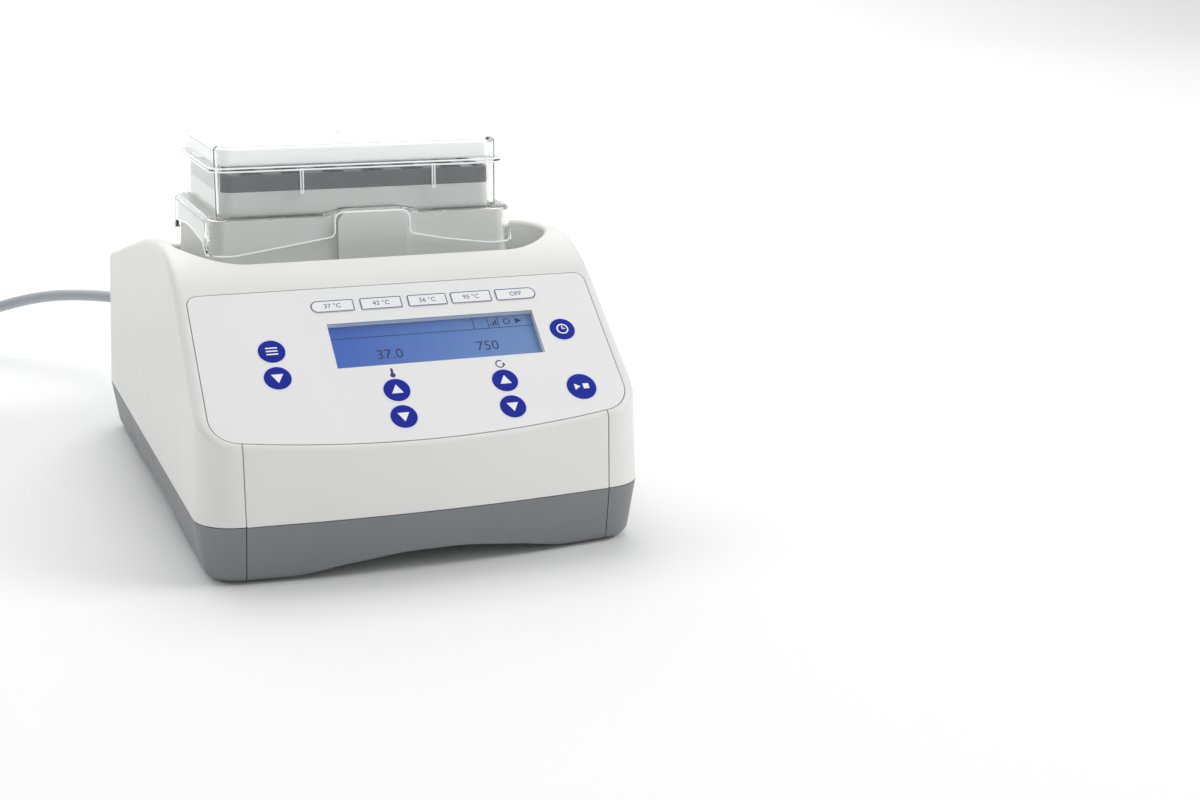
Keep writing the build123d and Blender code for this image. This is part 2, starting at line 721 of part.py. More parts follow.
def power_transformer():
    """Potted transformer on the power board."""
    x, y, z = TRANSFORMER_SIZE
    low = SUPPLY_Z + SUPPLY_T
    core = slab(Pos(TRANSFORMER_X, SUPPLY_Y) * Rectangle(x, y), low, low + z)
    return chamfer(core.edges().filter_by(Axis.Z), TRANSFORMER_EDGE)


def front_skirt():
    """Grey cover of the base's front wall, between the seams."""
    zone = seam_region(SEAM_X - SEAM / 2, 0, PARTING_Z)
    return ((base_form() - base_form(COVER_T)) & zone) - arch_gaps()


def rear_box(x, width, height, y_low, y_high):
    """Box on the rear wall, centred on the row of fittings."""
    return Pos(x, (y_low + y_high) / 2, INLET_Z) * Box(width, y_high - y_low, height)


def inlet_shell(gap):
    """Width and height of the inlet's shell, with a gap all round it."""
    return [size + 2 * (INLET_SHELL + gap) for size in INLET_CAVITY]


def rear_cutouts():
    """Openings in the rear wall for the inlet, the switch and the fuse drawer."""
    wall_in = REAR_Y - 4 * WALL
    wall_out = REAR_Y + WALL
    inlet = rear_box(INLET_X, *inlet_shell(GAP), wall_in, wall_out)
    rocker = rear_box(ROCKER_X, ROCKER_SIZE[0], ROCKER_SIZE[1], wall_in, wall_out)
    fuse = rear_box(FUSE_X, FUSE_SIZE[0], FUSE_SIZE[1], wall_in, wall_out)
    return inlet + rocker + fuse


def well_tray():
    """Dark sheet that closes the bottom of the well, with holes for the drive's pins."""
    tray = slab(well_outline(WELL_WALL), TRAY_Z, TRAY_Z + TRAY_T)
    for x, y, radius in pin_places():
        hole = radius + 2 * ORBIT_R + GAP
        tray -= Pos(x, y, TRAY_Z) * Cylinder(hole, 4 * TRAY_T)
    return tray


def pin_places():
    """Axis of the motor and of the guide cranks, with the radius of the pin on each."""
    places = [(0.0, DRIVE_Y, SHAFT_R)]
    for x, y in GUIDE_PLACES:
        places.append((x, DRIVE_Y + y, GUIDE_R))
    return places


def rubber_feet():
    """Four round feet stuck under the corners of the base."""
    feet = []
    for x in (-FOOT_X, FOOT_X):
        for y in (-FOOT_Y, FOOT_Y):
            feet.append(Pos(x, y, FOOT_T / 2) * Cylinder(FOOT_R, FOOT_T))
    return Compound(children=feet)


# ---------------------------------------------------------------- keypad

def keypad_panel():
    """Keypad plate with its key holes, display window and the posts that carry the board."""
    plate = on_panel(panel_outline(), -PANEL_T, 0)
    for outline in key_outlines(KEY_GAP).values():
        plate -= on_panel(outline, -PANEL_T * 2, PANEL_T)
    plate -= on_panel(window_outline(), -PANEL_T * 2, PANEL_T)
    plate += on_panel(window_outline(LCD_RIM) - window_outline(), -LCD_DEPTH, -PANEL_T)
    for x, s in board_posts():
        plate += on_panel(Pos(x, s) * Circle(POST_R), -BOARD_DEPTH, -PANEL_T)
    return plate


def board_posts():
    """Places of the posts between the keypad plate and its board."""
    side = WIDTH / 2 - BOARD_POST_SET
    left = [(-side, BOARD_POST_LOW_S), (-side, BOARD_POST_HIGH_S)]
    right = [(side, BOARD_POST_MID_S), (side, BOARD_POST_HIGH_S)]
    return left + right + BOARD_POSTS_WITHIN


def display_window():
    """Clear pane set flush in the keypad plate."""
    return on_panel(window_outline(-REAR_FIT / 4), -WINDOW_T, 0)


def display_module():
    """Liquid crystal module behind the window, on the rim of the keypad plate."""
    return on_panel(window_outline(LCD_RIM), -LCD_DEPTH - LCD_T, -LCD_DEPTH)


def control_board():
    """Printed board parallel to the keypad, on the keypad's posts."""
    corners = offset(panel_outline(), -PANEL_LEDGE - POST_R / 2)
    return on_panel(corners, -BOARD_DEPTH - BOARD_T, -BOARD_DEPTH)


def key_switches():
    """Thirteen push switches on the board, one under each key."""
    switches = []
    top = -BOARD_DEPTH + SWITCH_T
    for x, s in key_places().values():
        body = on_panel(Pos(x, s) * Rectangle(SWITCH_SIZE, SWITCH_SIZE), -BOARD_DEPTH, top - 1)
        body += on_panel(Pos(x, s) * Circle(KEY_STEM_R), top - 1, top)
        switches.append(body)
    return Compound(children=switches)


def key_pieces():
    """Thirteen key caps with a flange under the plate and a stem down to the switch."""
    keys = {}
    stem_low = -BOARD_DEPTH + SWITCH_T + KEY_TRAVEL + KEY_GAP
    flange_low = -PANEL_T - KEY_FLANGE
    holes = key_outlines()
    flanges = key_outlines(KEY_FLANGE)
    for name, (x, s) in key_places().items():
        cap = on_panel(holes[name], flange_low, KEY_PROUD)
        cap += on_panel(flanges[name], flange_low, -PANEL_T - KEY_GAP / 2)
        cap += on_panel(Pos(x, s) * Circle(KEY_STEM_R), stem_low, flange_low)
        keys[name] = cap
    return keys


# ---------------------------------------------------------------- drive

def at_drive(sketch, x=0.0, y=0.0):
    """A sketch moved to a place beside the motor axis."""
    return Pos(x, DRIVE_Y + y) * sketch


def ring(outer, inner, z_low, z_high, x=0.0, y=0.0):
    """Upright ring beside the motor axis."""
    return slab(at_drive(Circle(outer) - Circle(inner), x, y), z_low, z_high)


def rod(radius, z_low, z_high, x=0.0, y=0.0):
    """Upright rod beside the motor axis."""
    return slab(at_drive(Circle(radius), x, y), z_low, z_high)


def inner_floor():
    """Space inside the base pan, above its floor."""
    return base_form(BASE_WALL) - arch_gaps(BASE_WALL)


def standing_post(space, radius, x, y, z_high):
    """Round post from the pan's floor up to z_high."""
    foot = rod(radius, 0, PARTING_Z, x, y) & space
    return foot + rod(radius, PARTING_Z, z_high, x, y)


def drive_chassis():
    """Cast plate on four legs, with the hub of the main shaft and a boss for each guide crank."""
    plate_top = CHASSIS_Z + CHASSIS_T
    chassis = slab(at_drive(RectangleRounded(*CHASSIS_SIZE, CHASSIS_R)), CHASSIS_Z, plate_top)
    chassis += rod(HUB_R, HUB_LOW_Z, HUB_TOP_Z)
    space = inner_floor()
    for x in (-CHASSIS_LEG_X, CHASSIS_LEG_X):
        for y in (-CHASSIS_LEG_Y, CHASSIS_LEG_Y):
            chassis += standing_post(space, CHASSIS_LEG_R, x, y, CHASSIS_Z)
    chassis -= rod(SHAFT_R + SHAFT_PLAY, 0, CREST_Z)
    chassis -= rod(BEARING_R, HUB_LOW_Z, HUB_LOW_Z + BEARING_T)
    chassis -= rod(BEARING_R, HUB_TOP_Z - BEARING_T, HUB_TOP_Z)
    for x, y in GUIDE_PLACES:
        chassis += rod(GUIDE_BOSS_R, CHASSIS_Z, GUIDE_TOP_Z, x, y)
        chassis -= rod(GUIDE_BEARING_R, GUIDE_TOP_Z - GUIDE_BEARING_T, GUIDE_TOP_Z, x, y)
        chassis -= rod(GUIDE_R + GAP, CHASSIS_Z + CHASSIS_T, GUIDE_TOP_Z, x, y)
    return chassis


def main_bearings():
    """Two ball bearings of the motor shaft, each as one ring."""
    low = ring(BEARING_R, SHAFT_R + FIT, HUB_LOW_Z, HUB_LOW_Z + BEARING_T)
    high = ring(BEARING_R, SHAFT_R + FIT, HUB_TOP_Z - BEARING_T, HUB_TOP_Z)
    return Compound(children=[low, high])


def guide_bearings():
    """One small bearing for each guide crank, in the chassis."""
    rings = []
    for x, y in GUIDE_PLACES:
        low = GUIDE_TOP_Z - GUIDE_BEARING_T
        rings.append(ring(GUIDE_BEARING_R, GUIDE_R + FIT, low, GUIDE_TOP_Z, x, y))
    return Compound(children=rings)


def motor_stator():
    """Laminated stator with wound teeth, on the lower end of the hub."""
    high = STATOR_Z + STATOR_T
    stator = ring(HUB_R + STATOR_YOKE, HUB_R, STATOR_Z, high)
    reach = STATOR_R - HUB_R - STATOR_YOKE / 2
    middle = HUB_R + STATOR_YOKE / 2 + reach / 2
    for i in range(STATOR_TEETH):
        tooth = Rot(0, 0, i * 360 / STATOR_TEETH) * Pos(middle, 0) * Rectangle(reach, TOOTH_WIDTH)
        stator += slab(at_drive(tooth), STATOR_Z, high)
    return stator & rod(STATOR_R, STATOR_Z, high)


def motor_rotor():
    """Magnet cup of the outer-rotor motor, fixed on the lower end of the shaft."""
    high = STATOR_Z + STATOR_T
    cup = rod(ROTOR_R, ROTOR_LOW_Z, high) - rod(ROTOR_R - ROTOR_WALL, ROTOR_LOW_Z + ROTOR_WALL, high)
    cup += rod(ROTOR_HUB_R, ROTOR_LOW_Z, ROTOR_LOW_Z + ROTOR_WALL + ROTOR_HUB_T)
    return cup - rod(SHAFT_R, 0, CREST_Z)


def drive_shaft():
    """Motor shaft with its web and the crank pin that carries the table."""
    shaft = rod(SHAFT_R, ROTOR_LOW_Z, WEB_Z)
    shaft += rod(WEB_R, WEB_Z, WEB_Z + WEB_T)
    return shaft + rod(SHAFT_R, WEB_Z + WEB_T, TABLE_TOP_Z - GAP, 0, ORBIT_R)


def counterweight():
    """Steel sector clamped round the web, opposite the crank pin."""
    half = COUNTERWEIGHT_ARC / 2
    arc = CenterArc((0, 0), COUNTERWEIGHT_R, 270 - half, COUNTERWEIGHT_ARC)
    spokes = Polyline(arc @ 1, (0, 0), arc @ 0)
    sector = make_face(arc.edges() + spokes.edges()) + Circle(WEB_R + CLAMP_WALL)
    return slab(at_drive(sector - Circle(WEB_R)), WEB_Z, WEB_Z + WEB_T)


def guide_crank(x, y):
    """Small crank that keeps the table from turning."""
    crank = rod(GUIDE_R, GUIDE_TOP_Z - GUIDE_BEARING_T - GAP, GUIDE_WEB_Z, x, y)
    crank += rod(GUIDE_WEB_R, GUIDE_WEB_Z, GUIDE_WEB_Z + GUIDE_WEB_T, x, y)
    pin_z = GUIDE_WEB_Z + GUIDE_WEB_T
    return crank + rod(GUIDE_R, pin_z, TABLE_Z + GUIDE_BEARING_T, x, y + ORBIT_R)


# ---------------------------------------------------------------- table and block

def mixing_table():
    """Aluminium plate that carries the block, bored for the crank pin and the guide pins."""
    table = slab(rounded(*TABLE_HALF, BODY_R, BLOCK_Y), TABLE_Z, TABLE_TOP_Z)
    table -= rod(BEARING_R, TABLE_Z, TABLE_Z + BEARING_T, 0, ORBIT_R)
    table -= rod(SHAFT_R + GAP, TABLE_Z, TABLE_TOP_Z, 0, ORBIT_R)
    for x, y in GUIDE_PLACES:
        table -= rod(GUIDE_BEARING_R, TABLE_Z, TABLE_Z + GUIDE_BEARING_T, x, y + ORBIT_R)
    return table


def table_bearings():
    """Bearings in the table for the crank pin and the three guide pins."""
    rings = [ring(BEARING_R, SHAFT_R + FIT, TABLE_Z, TABLE_Z + BEARING_T, 0, ORBIT_R)]
    for x, y in GUIDE_PLACES:
        high = TABLE_Z + GUIDE_BEARING_T
        rings.append(ring(GUIDE_BEARING_R, GUIDE_R + GUIDE_FIT, TABLE_Z, high, x, y + ORBIT_R))
    return Compound(children=rings)


def body_wall(inset):
    """Flared form of the block's plastic body, moved in by inset."""
    top = grown(BODY_HALF_TOP, -inset)
    ledge = grown(BODY_HALF_LEDGE, -inset)
    skirt = grown(BODY_HALF_SKIRT, -inset)
    low = grown(BODY_HALF_LOW, -inset)
    radius = BODY_R - inset * 0.6
    lower = tapered(low, skirt, TABLE_TOP_Z, LEDGE_Z - inset, radius, BLOCK_Y)
    return lower + tapered(ledge, top, LEDGE_Z - inset, COLLAR_Z, radius, BLOCK_Y)


def block_housing():
    """Light grey body round the block, with a ledge for the lid, a tab and posts for the block."""
    shell = body_wall(0) - (body_wall(BODY_WALL) - slab(body_plan(), 0, TABLE_TOP_Z + BODY_FLOOR))
    front = BLOCK_Y - BODY_HALF_SKIRT[1]
    top = LEDGE_Z + TAB_RISE
    block = slab(Pos(TAB_X, front) * Rectangle(2 * TAB_HALF, 2 * TAB_PROUD), TABLE_TOP_Z, top)
    block = fillet(block.edges().filter_by(Axis.Y).group_by(Axis.Z)[-1], TAB_R)
    shell += block - body_wall(BODY_WALL)
    for x in (-BLOCK_POST[0], BLOCK_POST[0]):
        for y in (-BLOCK_POST[1], BLOCK_POST[1]):
            post = Pos(x, BLOCK_Y + y) * Circle(BLOCK_POST_R)
            shell += slab(post, TABLE_TOP_Z + BODY_FLOOR, BLOCK_Z)
    return shell


def body_plan():
    """Large plan rectangle round the block."""
    return Pos(0, BLOCK_Y) * Rectangle(WIDTH, DEPTH / 2)


def block_collar():
    """Dark collar on top of the body, closing the gap to the metal block."""
    collar = tapered(BODY_HALF_TOP, grown(BODY_HALF_TOP, -0.5), COLLAR_Z, COLLAR_TOP_Z, BODY_R, BLOCK_Y)
    inner = rounded(BLOCK_HALF[0] + GAP, BLOCK_HALF[1] + GAP, BLOCK_R + GAP, BLOCK_Y)
    collar -= slab(inner, COLLAR_Z, COLLAR_TOP_Z)
    return collar


def tube_places():
    """Middle of every tube well."""
    places = []
    for i in range(TUBE_COLUMNS):
        for j in range(TUBE_ROWS):
            x = (i - (TUBE_COLUMNS - 1) / 2) * TUBE_PITCH_X
            y = (j - (TUBE_ROWS - 1) / 2) * TUBE_PITCH_Y
            places.append((x, BLOCK_Y + y))
    return places


def heating_block():
    """Metal block with its tube wells and the blind hole for the sensor."""
    block = slab(rounded(BLOCK_HALF[0], BLOCK_HALF[1], BLOCK_R, BLOCK_Y), BLOCK_Z, BLOCK_TOP_Z)
    low = BLOCK_TOP_Z - TUBE_DEPTH
    wells = []
    for x, y in tube_places():
        well = Pos(x, y, low + TUBE_DEPTH / 2) * Cylinder(TUBE_R, TUBE_DEPTH)
        tip = Pos(x, y, low - TUBE_TIP / 2) * Cone(TUBE_R / 3, TUBE_R, TUBE_TIP)
        wells += [well, tip]
    block -= wells
    return block


def heater_plate():
    """Flat heating element under the block, between the body's posts."""
    half = (BLOCK_POST[0] - BLOCK_POST_R - GAP, BLOCK_HALF[1] - GAP)
    plate = slab(rounded(half[0], half[1], 2, BLOCK_Y), BLOCK_Z - HEATER_T, BLOCK_Z)
    return plate


def temperature_sensor():
    """Round probe clamped under the heating element."""
    z = BLOCK_Z - HEATER_T - SENSOR_R
    return Pos(0, BLOCK_Y, z) * Rot(0, 90, 0) * Cylinder(SENSOR_R, SENSOR_LENGTH)


# ---------------------------------------------------------------- lid

def lid_form(inset):
    """Outer form of the clear lid, with its box, shoulder and skirt, moved in by inset."""
    box = rounded(LID_HALF[0] - inset, LID_HALF[1] - inset, LID_CORNER_R - inset / 2, BLOCK_Y)
    skirt_top = grown(LID_SKIRT_HALF, -inset)
    skirt_low = grown(skirt_top, LID_SKIRT_FLARE)
    shoulder_z = LEDGE_Z + LID_WALL - inset
    low_z = SKIRT_LOW_Z - 1
    form = rounded_top(slab(box, low_z, LID_TOP_Z - inset), LID_EDGE_R - inset)
    skirt = tapered(skirt_low, skirt_top, low_z, shoulder_z, LID_CORNER_R + 3 - inset / 2, BLOCK_Y)
    return form + rounded_top(skirt, LID_EDGE_R - inset) + lid_bridge(inset)


def lid_bridge(inset):
    """Raised stretch of the shoulder over the tab and its twin at the rear, moved in by inset."""
    crown = TAB_HALF - TAB_R + LID_TAB_GAP
    foot = crown + LID_BRIDGE_RUN
    low = LEDGE_Z - LID_EDGE_R
    shoulder = LEDGE_Z + LID_WALL - inset
    top = shoulder + BRIDGE_RISE
    points = [(-foot, low), (-foot, shoulder), (-crown, top), (crown, top), (foot, shoulder), (foot, low)]
    profile = FilletPolyline(points, radius=[0, LID_BRIDGE_R, LID_BRIDGE_R, 0])
    profile = make_face(profile.edges() + Line(points[-1], points[0]).edges())
    bridge = extrude(Plane.XZ * profile, LID_SKIRT_HALF[1] - inset, both=True)
    rims = bridge.edges().group_by(Axis.Y)
    rims = [edge for edge in rims[0] + rims[-1] if edge.center().Z > (shoulder + top) / 2 - BRIDGE_RISE / 4]
    return Pos(TAB_X, BLOCK_Y) * fillet(rims, LID_EDGE_R - inset)


def rounded_top(form, radius):
    """Form with its highest edges rounded."""
    return fillet(form.edges().group_by(Axis.Z)[-1], radius)


def skirt_cut_front():
    """Space below the wavy front and rear edges of the skirt, with the arch over the tab."""
    left = TAB_X - TAB_HALF - LID_TAB_GAP
    right = TAB_X + TAB_HALF + LID_TAB_GAP
    arch = LEDGE_Z + BRIDGE_RISE
    end = WIDTH / 2
    dip = LID_SKIRT_HALF[0] - SKIRT_DIP_SET
    bend = LID_SKIRT_HALF[0] - SKIRT_BEND_SET
    points = [
        (-end, SKIRT_LOW_Z + SKIRT_END_RISE),
        (-dip, SKIRT_LOW_Z),
        (-bend, SKIRT_LOW_Z + SKIRT_BEND_RISE),
        (left, SKIRT_HIGH_Z),
        (left, arch),
        (right, arch),
        (right, SKIRT_HIGH_Z),
        (bend, SKIRT_LOW_Z + SKIRT_BEND_RISE),
        (dip, SKIRT_LOW_Z),
        (end, SKIRT_LOW_Z + SKIRT_END_RISE),
    ]
    radii = [*SKIRT_RADII, *reversed(SKIRT_RADII)]
    roof = FilletPolyline(points, radius=radii)
    floor = Polyline(points[-1], (end, TABLE_TOP_Z), (-end, TABLE_TOP_Z), points[0])
    return extrude(Plane.XZ * make_face(roof.edges() + floor.edges()), DEPTH, both=True)


def skirt_cut_side():
    """Space below the wavy side edges of the skirt."""
    front = BLOCK_Y - LID_SKIRT_HALF[1]
    rear = BLOCK_Y + LID_SKIRT_HALF[1]
    shelf = SKIRT_SIDE_Z - SKIRT_SIDE_DROP
    points = [
        (front + SKIRT_CORNER, SKIRT_LOW_Z - SKIRT_CORNER),
        (front + SKIRT_SIDE_SET, shelf),
        (BLOCK_Y, SKIRT_SIDE_Z),
        (rear - SKIRT_SIDE_SET, shelf),
        (rear - SKIRT_CORNER, SKIRT_LOW_Z - SKIRT_CORNER),
    ]
    roof = FilletPolyline(points, radius=SKIRT_SIDE_RADII)
    low = TABLE_TOP_Z
    floor = Polyline(points[-1], (rear - SKIRT_CORNER, low), (front + SKIRT_CORNER, low), points[0])
    return extrude(Plane.YZ * make_face(roof.edges() + floor.edges()), WIDTH, both=True)


def lid_cover():
    """Clear lid: one moulded wall with a flange, a shoulder that seats on the body and a skirt."""
    flange = rounded(*grown(LID_HALF, LID_FLANGE_PROUD), LID_CORNER_R + LID_FLANGE_PROUD, BLOCK_Y)
    outer = lid_form(0) + slab(flange, LID_FLANGE_Z, LID_FLANGE_Z + LID_FLANGE_T)
    ribs = []
    for side in (-1, 1):
        for x in (-RIB_OFFSET, RIB_OFFSET):
            y = BLOCK_Y + side * LID_HALF[1]
            rib = Pos(TAB_X + x, y, (LID_FLANGE_Z + COLLAR_Z - 1) / 2)
            ribs.append(rib * Box(RIB_T, 2 * RIB_PROUD, LID_FLANGE_Z - COLLAR_Z + 1))
    outer += ribs
    outer -= rod(GATE_R, LID_TOP_Z - GATE_DEPTH, LID_TOP_Z, 0, BLOCK_Y + GATE_SET - DRIVE_Y)
    return outer - lid_form(LID_WALL) - skirt_cut_front() - skirt_cut_side()


def lid_insert():
    """White insulating slab pressed up into the top of the lid."""
    half = grown(LID_HALF, -LID_WALL - INSERT_GAP)
    high = LID_TOP_Z - LID_WALL
    slab_form = slab(rounded(half[0], half[1], INSERT_R, BLOCK_Y), high - INSERT_T, high)
    return fillet(slab_form.edges().filter_by(Plane.XY), INSERT_EDGE_R)


# ---------------------------------------------------------------- mains side

def inlet_face_y():
    """Y of the outer faces of the fittings on the rear wall."""
    return rear_y(INLET_Z) + INLET_PROUD


def mains_inlet():
    """Appliance inlet with its flange, open cavity and three flat pins."""
    face = inlet_face_y()
    wall = rear_y(INLET_Z + INLET_FLANGE[1] / 2)
    body = rear_box(INLET_X, *inlet_shell(0), face - INLET_BODY_DEPTH, face)
    body += rear_box(INLET_X, INLET_FLANGE[0], INLET_FLANGE[1], wall, face) - rear_wall_solid()
    body -= rear_box(INLET_X, *INLET_CAVITY, face - INLET_CAVITY_DEPTH, face + 1)
    for x, z in pin_offsets():
        pin = Pos(INLET_X + x, face - INLET_CAVITY_DEPTH + PIN_LENGTH / 2, INLET_Z + z)
        body += pin * Box(PIN_SIZE[1], PIN_LENGTH, PIN_SIZE[0])
    return body


def pin_offsets():
    """Places of the three contacts about the middle of the inlet."""
    return [(-PIN_SPREAD, -PIN_RISE), (0.0, PIN_RISE), (PIN_SPREAD, -PIN_RISE)]


def rear_wall_solid():
    """Everything in front of the outside of the rear wall."""
    return housing_form() & (Pos(0, REAR_Y, INLET_Z) * Box(WIDTH, 2 * INLET_BODY_DEPTH, 2 * INLET_Z))


def rear_bezel(x, size, bezel, depth):
    """Frame of a snap-in fitting: a collar through the wall and a bezel on the outside."""
    face = inlet_face_y()
    wall = rear_y(INLET_Z + size[1] / 2 + bezel)
    frame = rear_box(x, size[0] - 2 * REAR_FIT, size[1] - 2 * REAR_FIT, face - depth, face)
    rim = rear_box(x, size[0] + 2 * bezel, size[1] + 2 * bezel, wall, face) - rear_wall_solid()
    frame += rim
    inside = [span - 2 * FRAME_WALL for span in size]
    return frame - rear_box(x, *inside, face - depth + FRAME_WALL, face + 1)


def rocker_axis():
    """Middle of the rocker's pivot."""
    return (ROCKER_X, inlet_face_y() - ROCKER_AXIS_DEPTH, INLET_Z)


def rocker_frame():
    """Frame of the mains switch, with the holes for the rocker's pivot."""
    frame = rear_bezel(ROCKER_X, ROCKER_SIZE, ROCKER_BEZEL, ROCKER_DEPTH)
    return frame - Pos(*rocker_axis()) * Cylinder(ROCKER_PIVOT_R + FIT, ROCKER_SIZE[1] - FRAME_WALL)


def power_rocker():
    """Rocker of the mains switch, tilted to its on position, with its pivot."""
    half = ROCKER_SIZE[0] / 2 - FRAME_WALL - ROCKER_GAP
    height = ROCKER_SIZE[1] - 2 * FRAME_WALL - 2 * REAR_FIT
    cheek = half - ROCKER_RELIEF
    paddle = [
        (-half, ROCKER_TOP),
        (0, ROCKER_TOP - ROCKER_DISH),
        (half, ROCKER_TOP),
        (cheek, ROCKER_CHEEK),
        (ROCKER_KEEL_HALF, -ROCKER_KEEL),
        (-ROCKER_KEEL_HALF, -ROCKER_KEEL),
        (-cheek, ROCKER_CHEEK),
    ]
    rocker = extrude(make_face(Polyline(paddle, close=True)), height / 2, both=True)
    rocker += Cylinder(ROCKER_PIVOT_R, ROCKER_SIZE[1] - FRAME_WALL - 2 * FIT)
    return Pos(*rocker_axis()) * Rot(0, 0, -ROCKER_TILT) * rocker


def fuse_holder():
    """Frame of the fuse drawer."""
    return rear_bezel(FUSE_X, FUSE_SIZE, FUSE_BEZEL, FUSE_DEPTH)


def fuse_drawer():
    """Open-topped drawer for two fuses, with a finger notch in its face."""
    face = inlet_face_y()
    width = FUSE_SIZE[0] - 2 * FRAME_WALL - 2 * REAR_FIT
    height = FUSE_SIZE[1] - 2 * FRAME_WALL - 2 * REAR_FIT
    drawer = rear_box(FUSE_X, width, height, face - FUSE_DEPTH + 2 * FRAME_WALL, face)
    for x, y in fuse_places():
        radius = FUSE_R + REAR_FIT
        length = FUSE_LENGTH + FUSE_PLAY
        drawer -= Pos(x, y, INLET_Z + height / 4) * Box(2 * radius, length, height / 2)
        drawer -= Pos(x, y, INLET_Z) * Rot(90, 0, 0) * Cylinder(radius, length)
    notch = Pos(FUSE_X, face, INLET_Z) * Cylinder(FUSE_NOTCH_R, height / 2)
    return drawer - notch


def fuse_places():
    """Middle of each fuse."""
    y = inlet_face_y() - FUSE_DEPTH / 2
    spread = FUSE_R + 2 * REAR_FIT
    return [(FUSE_X - spread, y), (FUSE_X + spread, y)]


def mains_fuses():
    """Two cartridge fuses in the drawer."""
    fuses = []
    for x, y in fuse_places():
        fuses.append(Pos(x, y, INLET_Z - REAR_FIT) * Rot(90, 0, 0) * Cylinder(FUSE_R, FUSE_LENGTH))
    return Compound(children=fuses)


# ---------------------------------------------------------------- mains lead

def cord_connector():
    """Moulded connector plugged into the inlet."""
    face = inlet_face_y()
    nose = rear_box(INLET_X, *CONNECTOR_SIZE, face - CONNECTOR_IN, face + 1)
    for x, z in pin_offsets():
        slot = Pos(INLET_X + x, face - CONNECTOR_IN, INLET_Z + z)
        nose -= slot * Box(PIN_SIZE[1] + PIN_PLAY, 2 * PIN_LENGTH, PIN_SIZE[0] + PIN_PLAY)
    grip = rear_box(INLET_X, *CONNECTOR_GRIP, face + REAR_FIT, face + CONNECTOR_OUT)
    grip = fillet(grip.edges().filter_by(Axis.Y), CONNECTOR_GRIP_R)
    return nose + grip


def cord_start_y():
    """Y of the end of the connector's strain relief."""
    return CORD_ROUTE[0][1]


def connector_relief():
    """Tapered strain relief behind the connector."""
    low = inlet_face_y() + CONNECTOR_OUT
    high = cord_start_y()
    faces = [
        Plane(origin=(INLET_X, low, INLET_Z), z_dir=(0, 1, 0)) * Circle(CORD_D / 2 + RELIEF_ROOT),
        Plane(origin=(INLET_X, high, INLET_Z), z_dir=(0, 1, 0)) * Circle(CORD_D / 2 + RELIEF_TIP),
    ]
    return loft(faces)


def corner_radii(points):
    """Largest tangent radius at each inner point of a route, from its two runs and its turn."""
    radii = []
    for before, here, after in zip(points, points[1:], points[2:]):
        into = Vector(*here) - Vector(*before)
        out = Vector(*after) - Vector(*here)
        half_turn = math.radians(into.get_angle(out)) / 2
        radii.append(BEND_SHARE * min(into.length, out.length) / math.tan(half_turn))
    return radii


def tube(points):
    """Round lead along a route of runs joined by tangent arcs."""
    radii = corner_radii(points)
    print("cord radii", [round(radius, 1) for radius in radii])
    path = FilletPolyline(points, radius=radii)
    section = Plane(origin=path @ 0, z_dir=path % 0) * Circle(CORD_D / 2)
    lead = sweep(section, path=path)
    ratio = lead.volume / (section.area * path.length)
    print("cord length", round(path.length, 1), "volume ratio", round(ratio, 4))
    return lead


def mains_cord():
    """Stretch of the lead from the connector to the coil."""
    return tube(CORD_ROUTE)


def cord_coil():
    """Outer shape of the coiled lead, resting on its tie."""
    plan = Pos(*COIL_CENTRE) * (Circle(COIL_OUTER_R) - Circle(COIL_INNER_R))
    coil = slab(plan, TIE_T, TIE_T + COIL_HEIGHT)
    return fillet(coil.edges(), COIL_EDGE_R)


def cord_tail():
    """Short stretch of the lead from the coil to the plug."""
    return tube(TAIL_ROUTE)


def plug_at(length):
    """Plane across the plug's axis, a length beyond the end of the lead."""
    end = Vector(*TAIL_ROUTE[-1])
    heading = (end - Vector(*TAIL_ROUTE[-2])).normalized()
    return Plane(origin=end + heading * length, z_dir=heading, x_dir=(0, 0, 1))


def mains_plug():
    """Moulded two-pin plug with its strain relief, lying beside the coil."""
    root = plug_at(PLUG_RELIEF_LENGTH)
    waist = plug_at(PLUG_RELIEF_LENGTH + PLUG_WAIST)
    face = plug_at(PLUG_RELIEF_LENGTH + PLUG_LENGTH)
    neck = loft([plug_at(0) * Circle(CORD_D / 2 + RELIEF_TIP), root * Circle(CORD_D / 2 + RELIEF_ROOT)])
    body = loft([root * Circle(PLUG_ROOT_R), waist * Circle(PLUG_WAIST_R), face * Circle(PLUG_R)], ruled=True)
    plug = neck + body
    for side in (-PLUG_PIN_SPREAD, PLUG_PIN_SPREAD):
        plug += extrude(face * Pos(0, side) * Circle(PLUG_PIN_R), PLUG_PIN_LENGTH)
    return plug


def coil_tie():
    """Band round one side of the coil."""
    middle = (COIL_OUTER_R + COIL_INNER_R) / 2
    width = COIL_OUTER_R - COIL_INNER_R + TIE_FIT
    band = Box(width + 2 * TIE_T, TIE_WIDTH, COIL_HEIGHT + 2 * TIE_T) - Box(width, TIE_WIDTH, COIL_HEIGHT)
    turn = Pos(*COIL_CENTRE) * Rot(0, 0, TIE_ANGLE) * Pos(middle, 0, COIL_HEIGHT / 2 + TIE_T)
    return turn * band


# ---------------------------------------------------------------- assembly

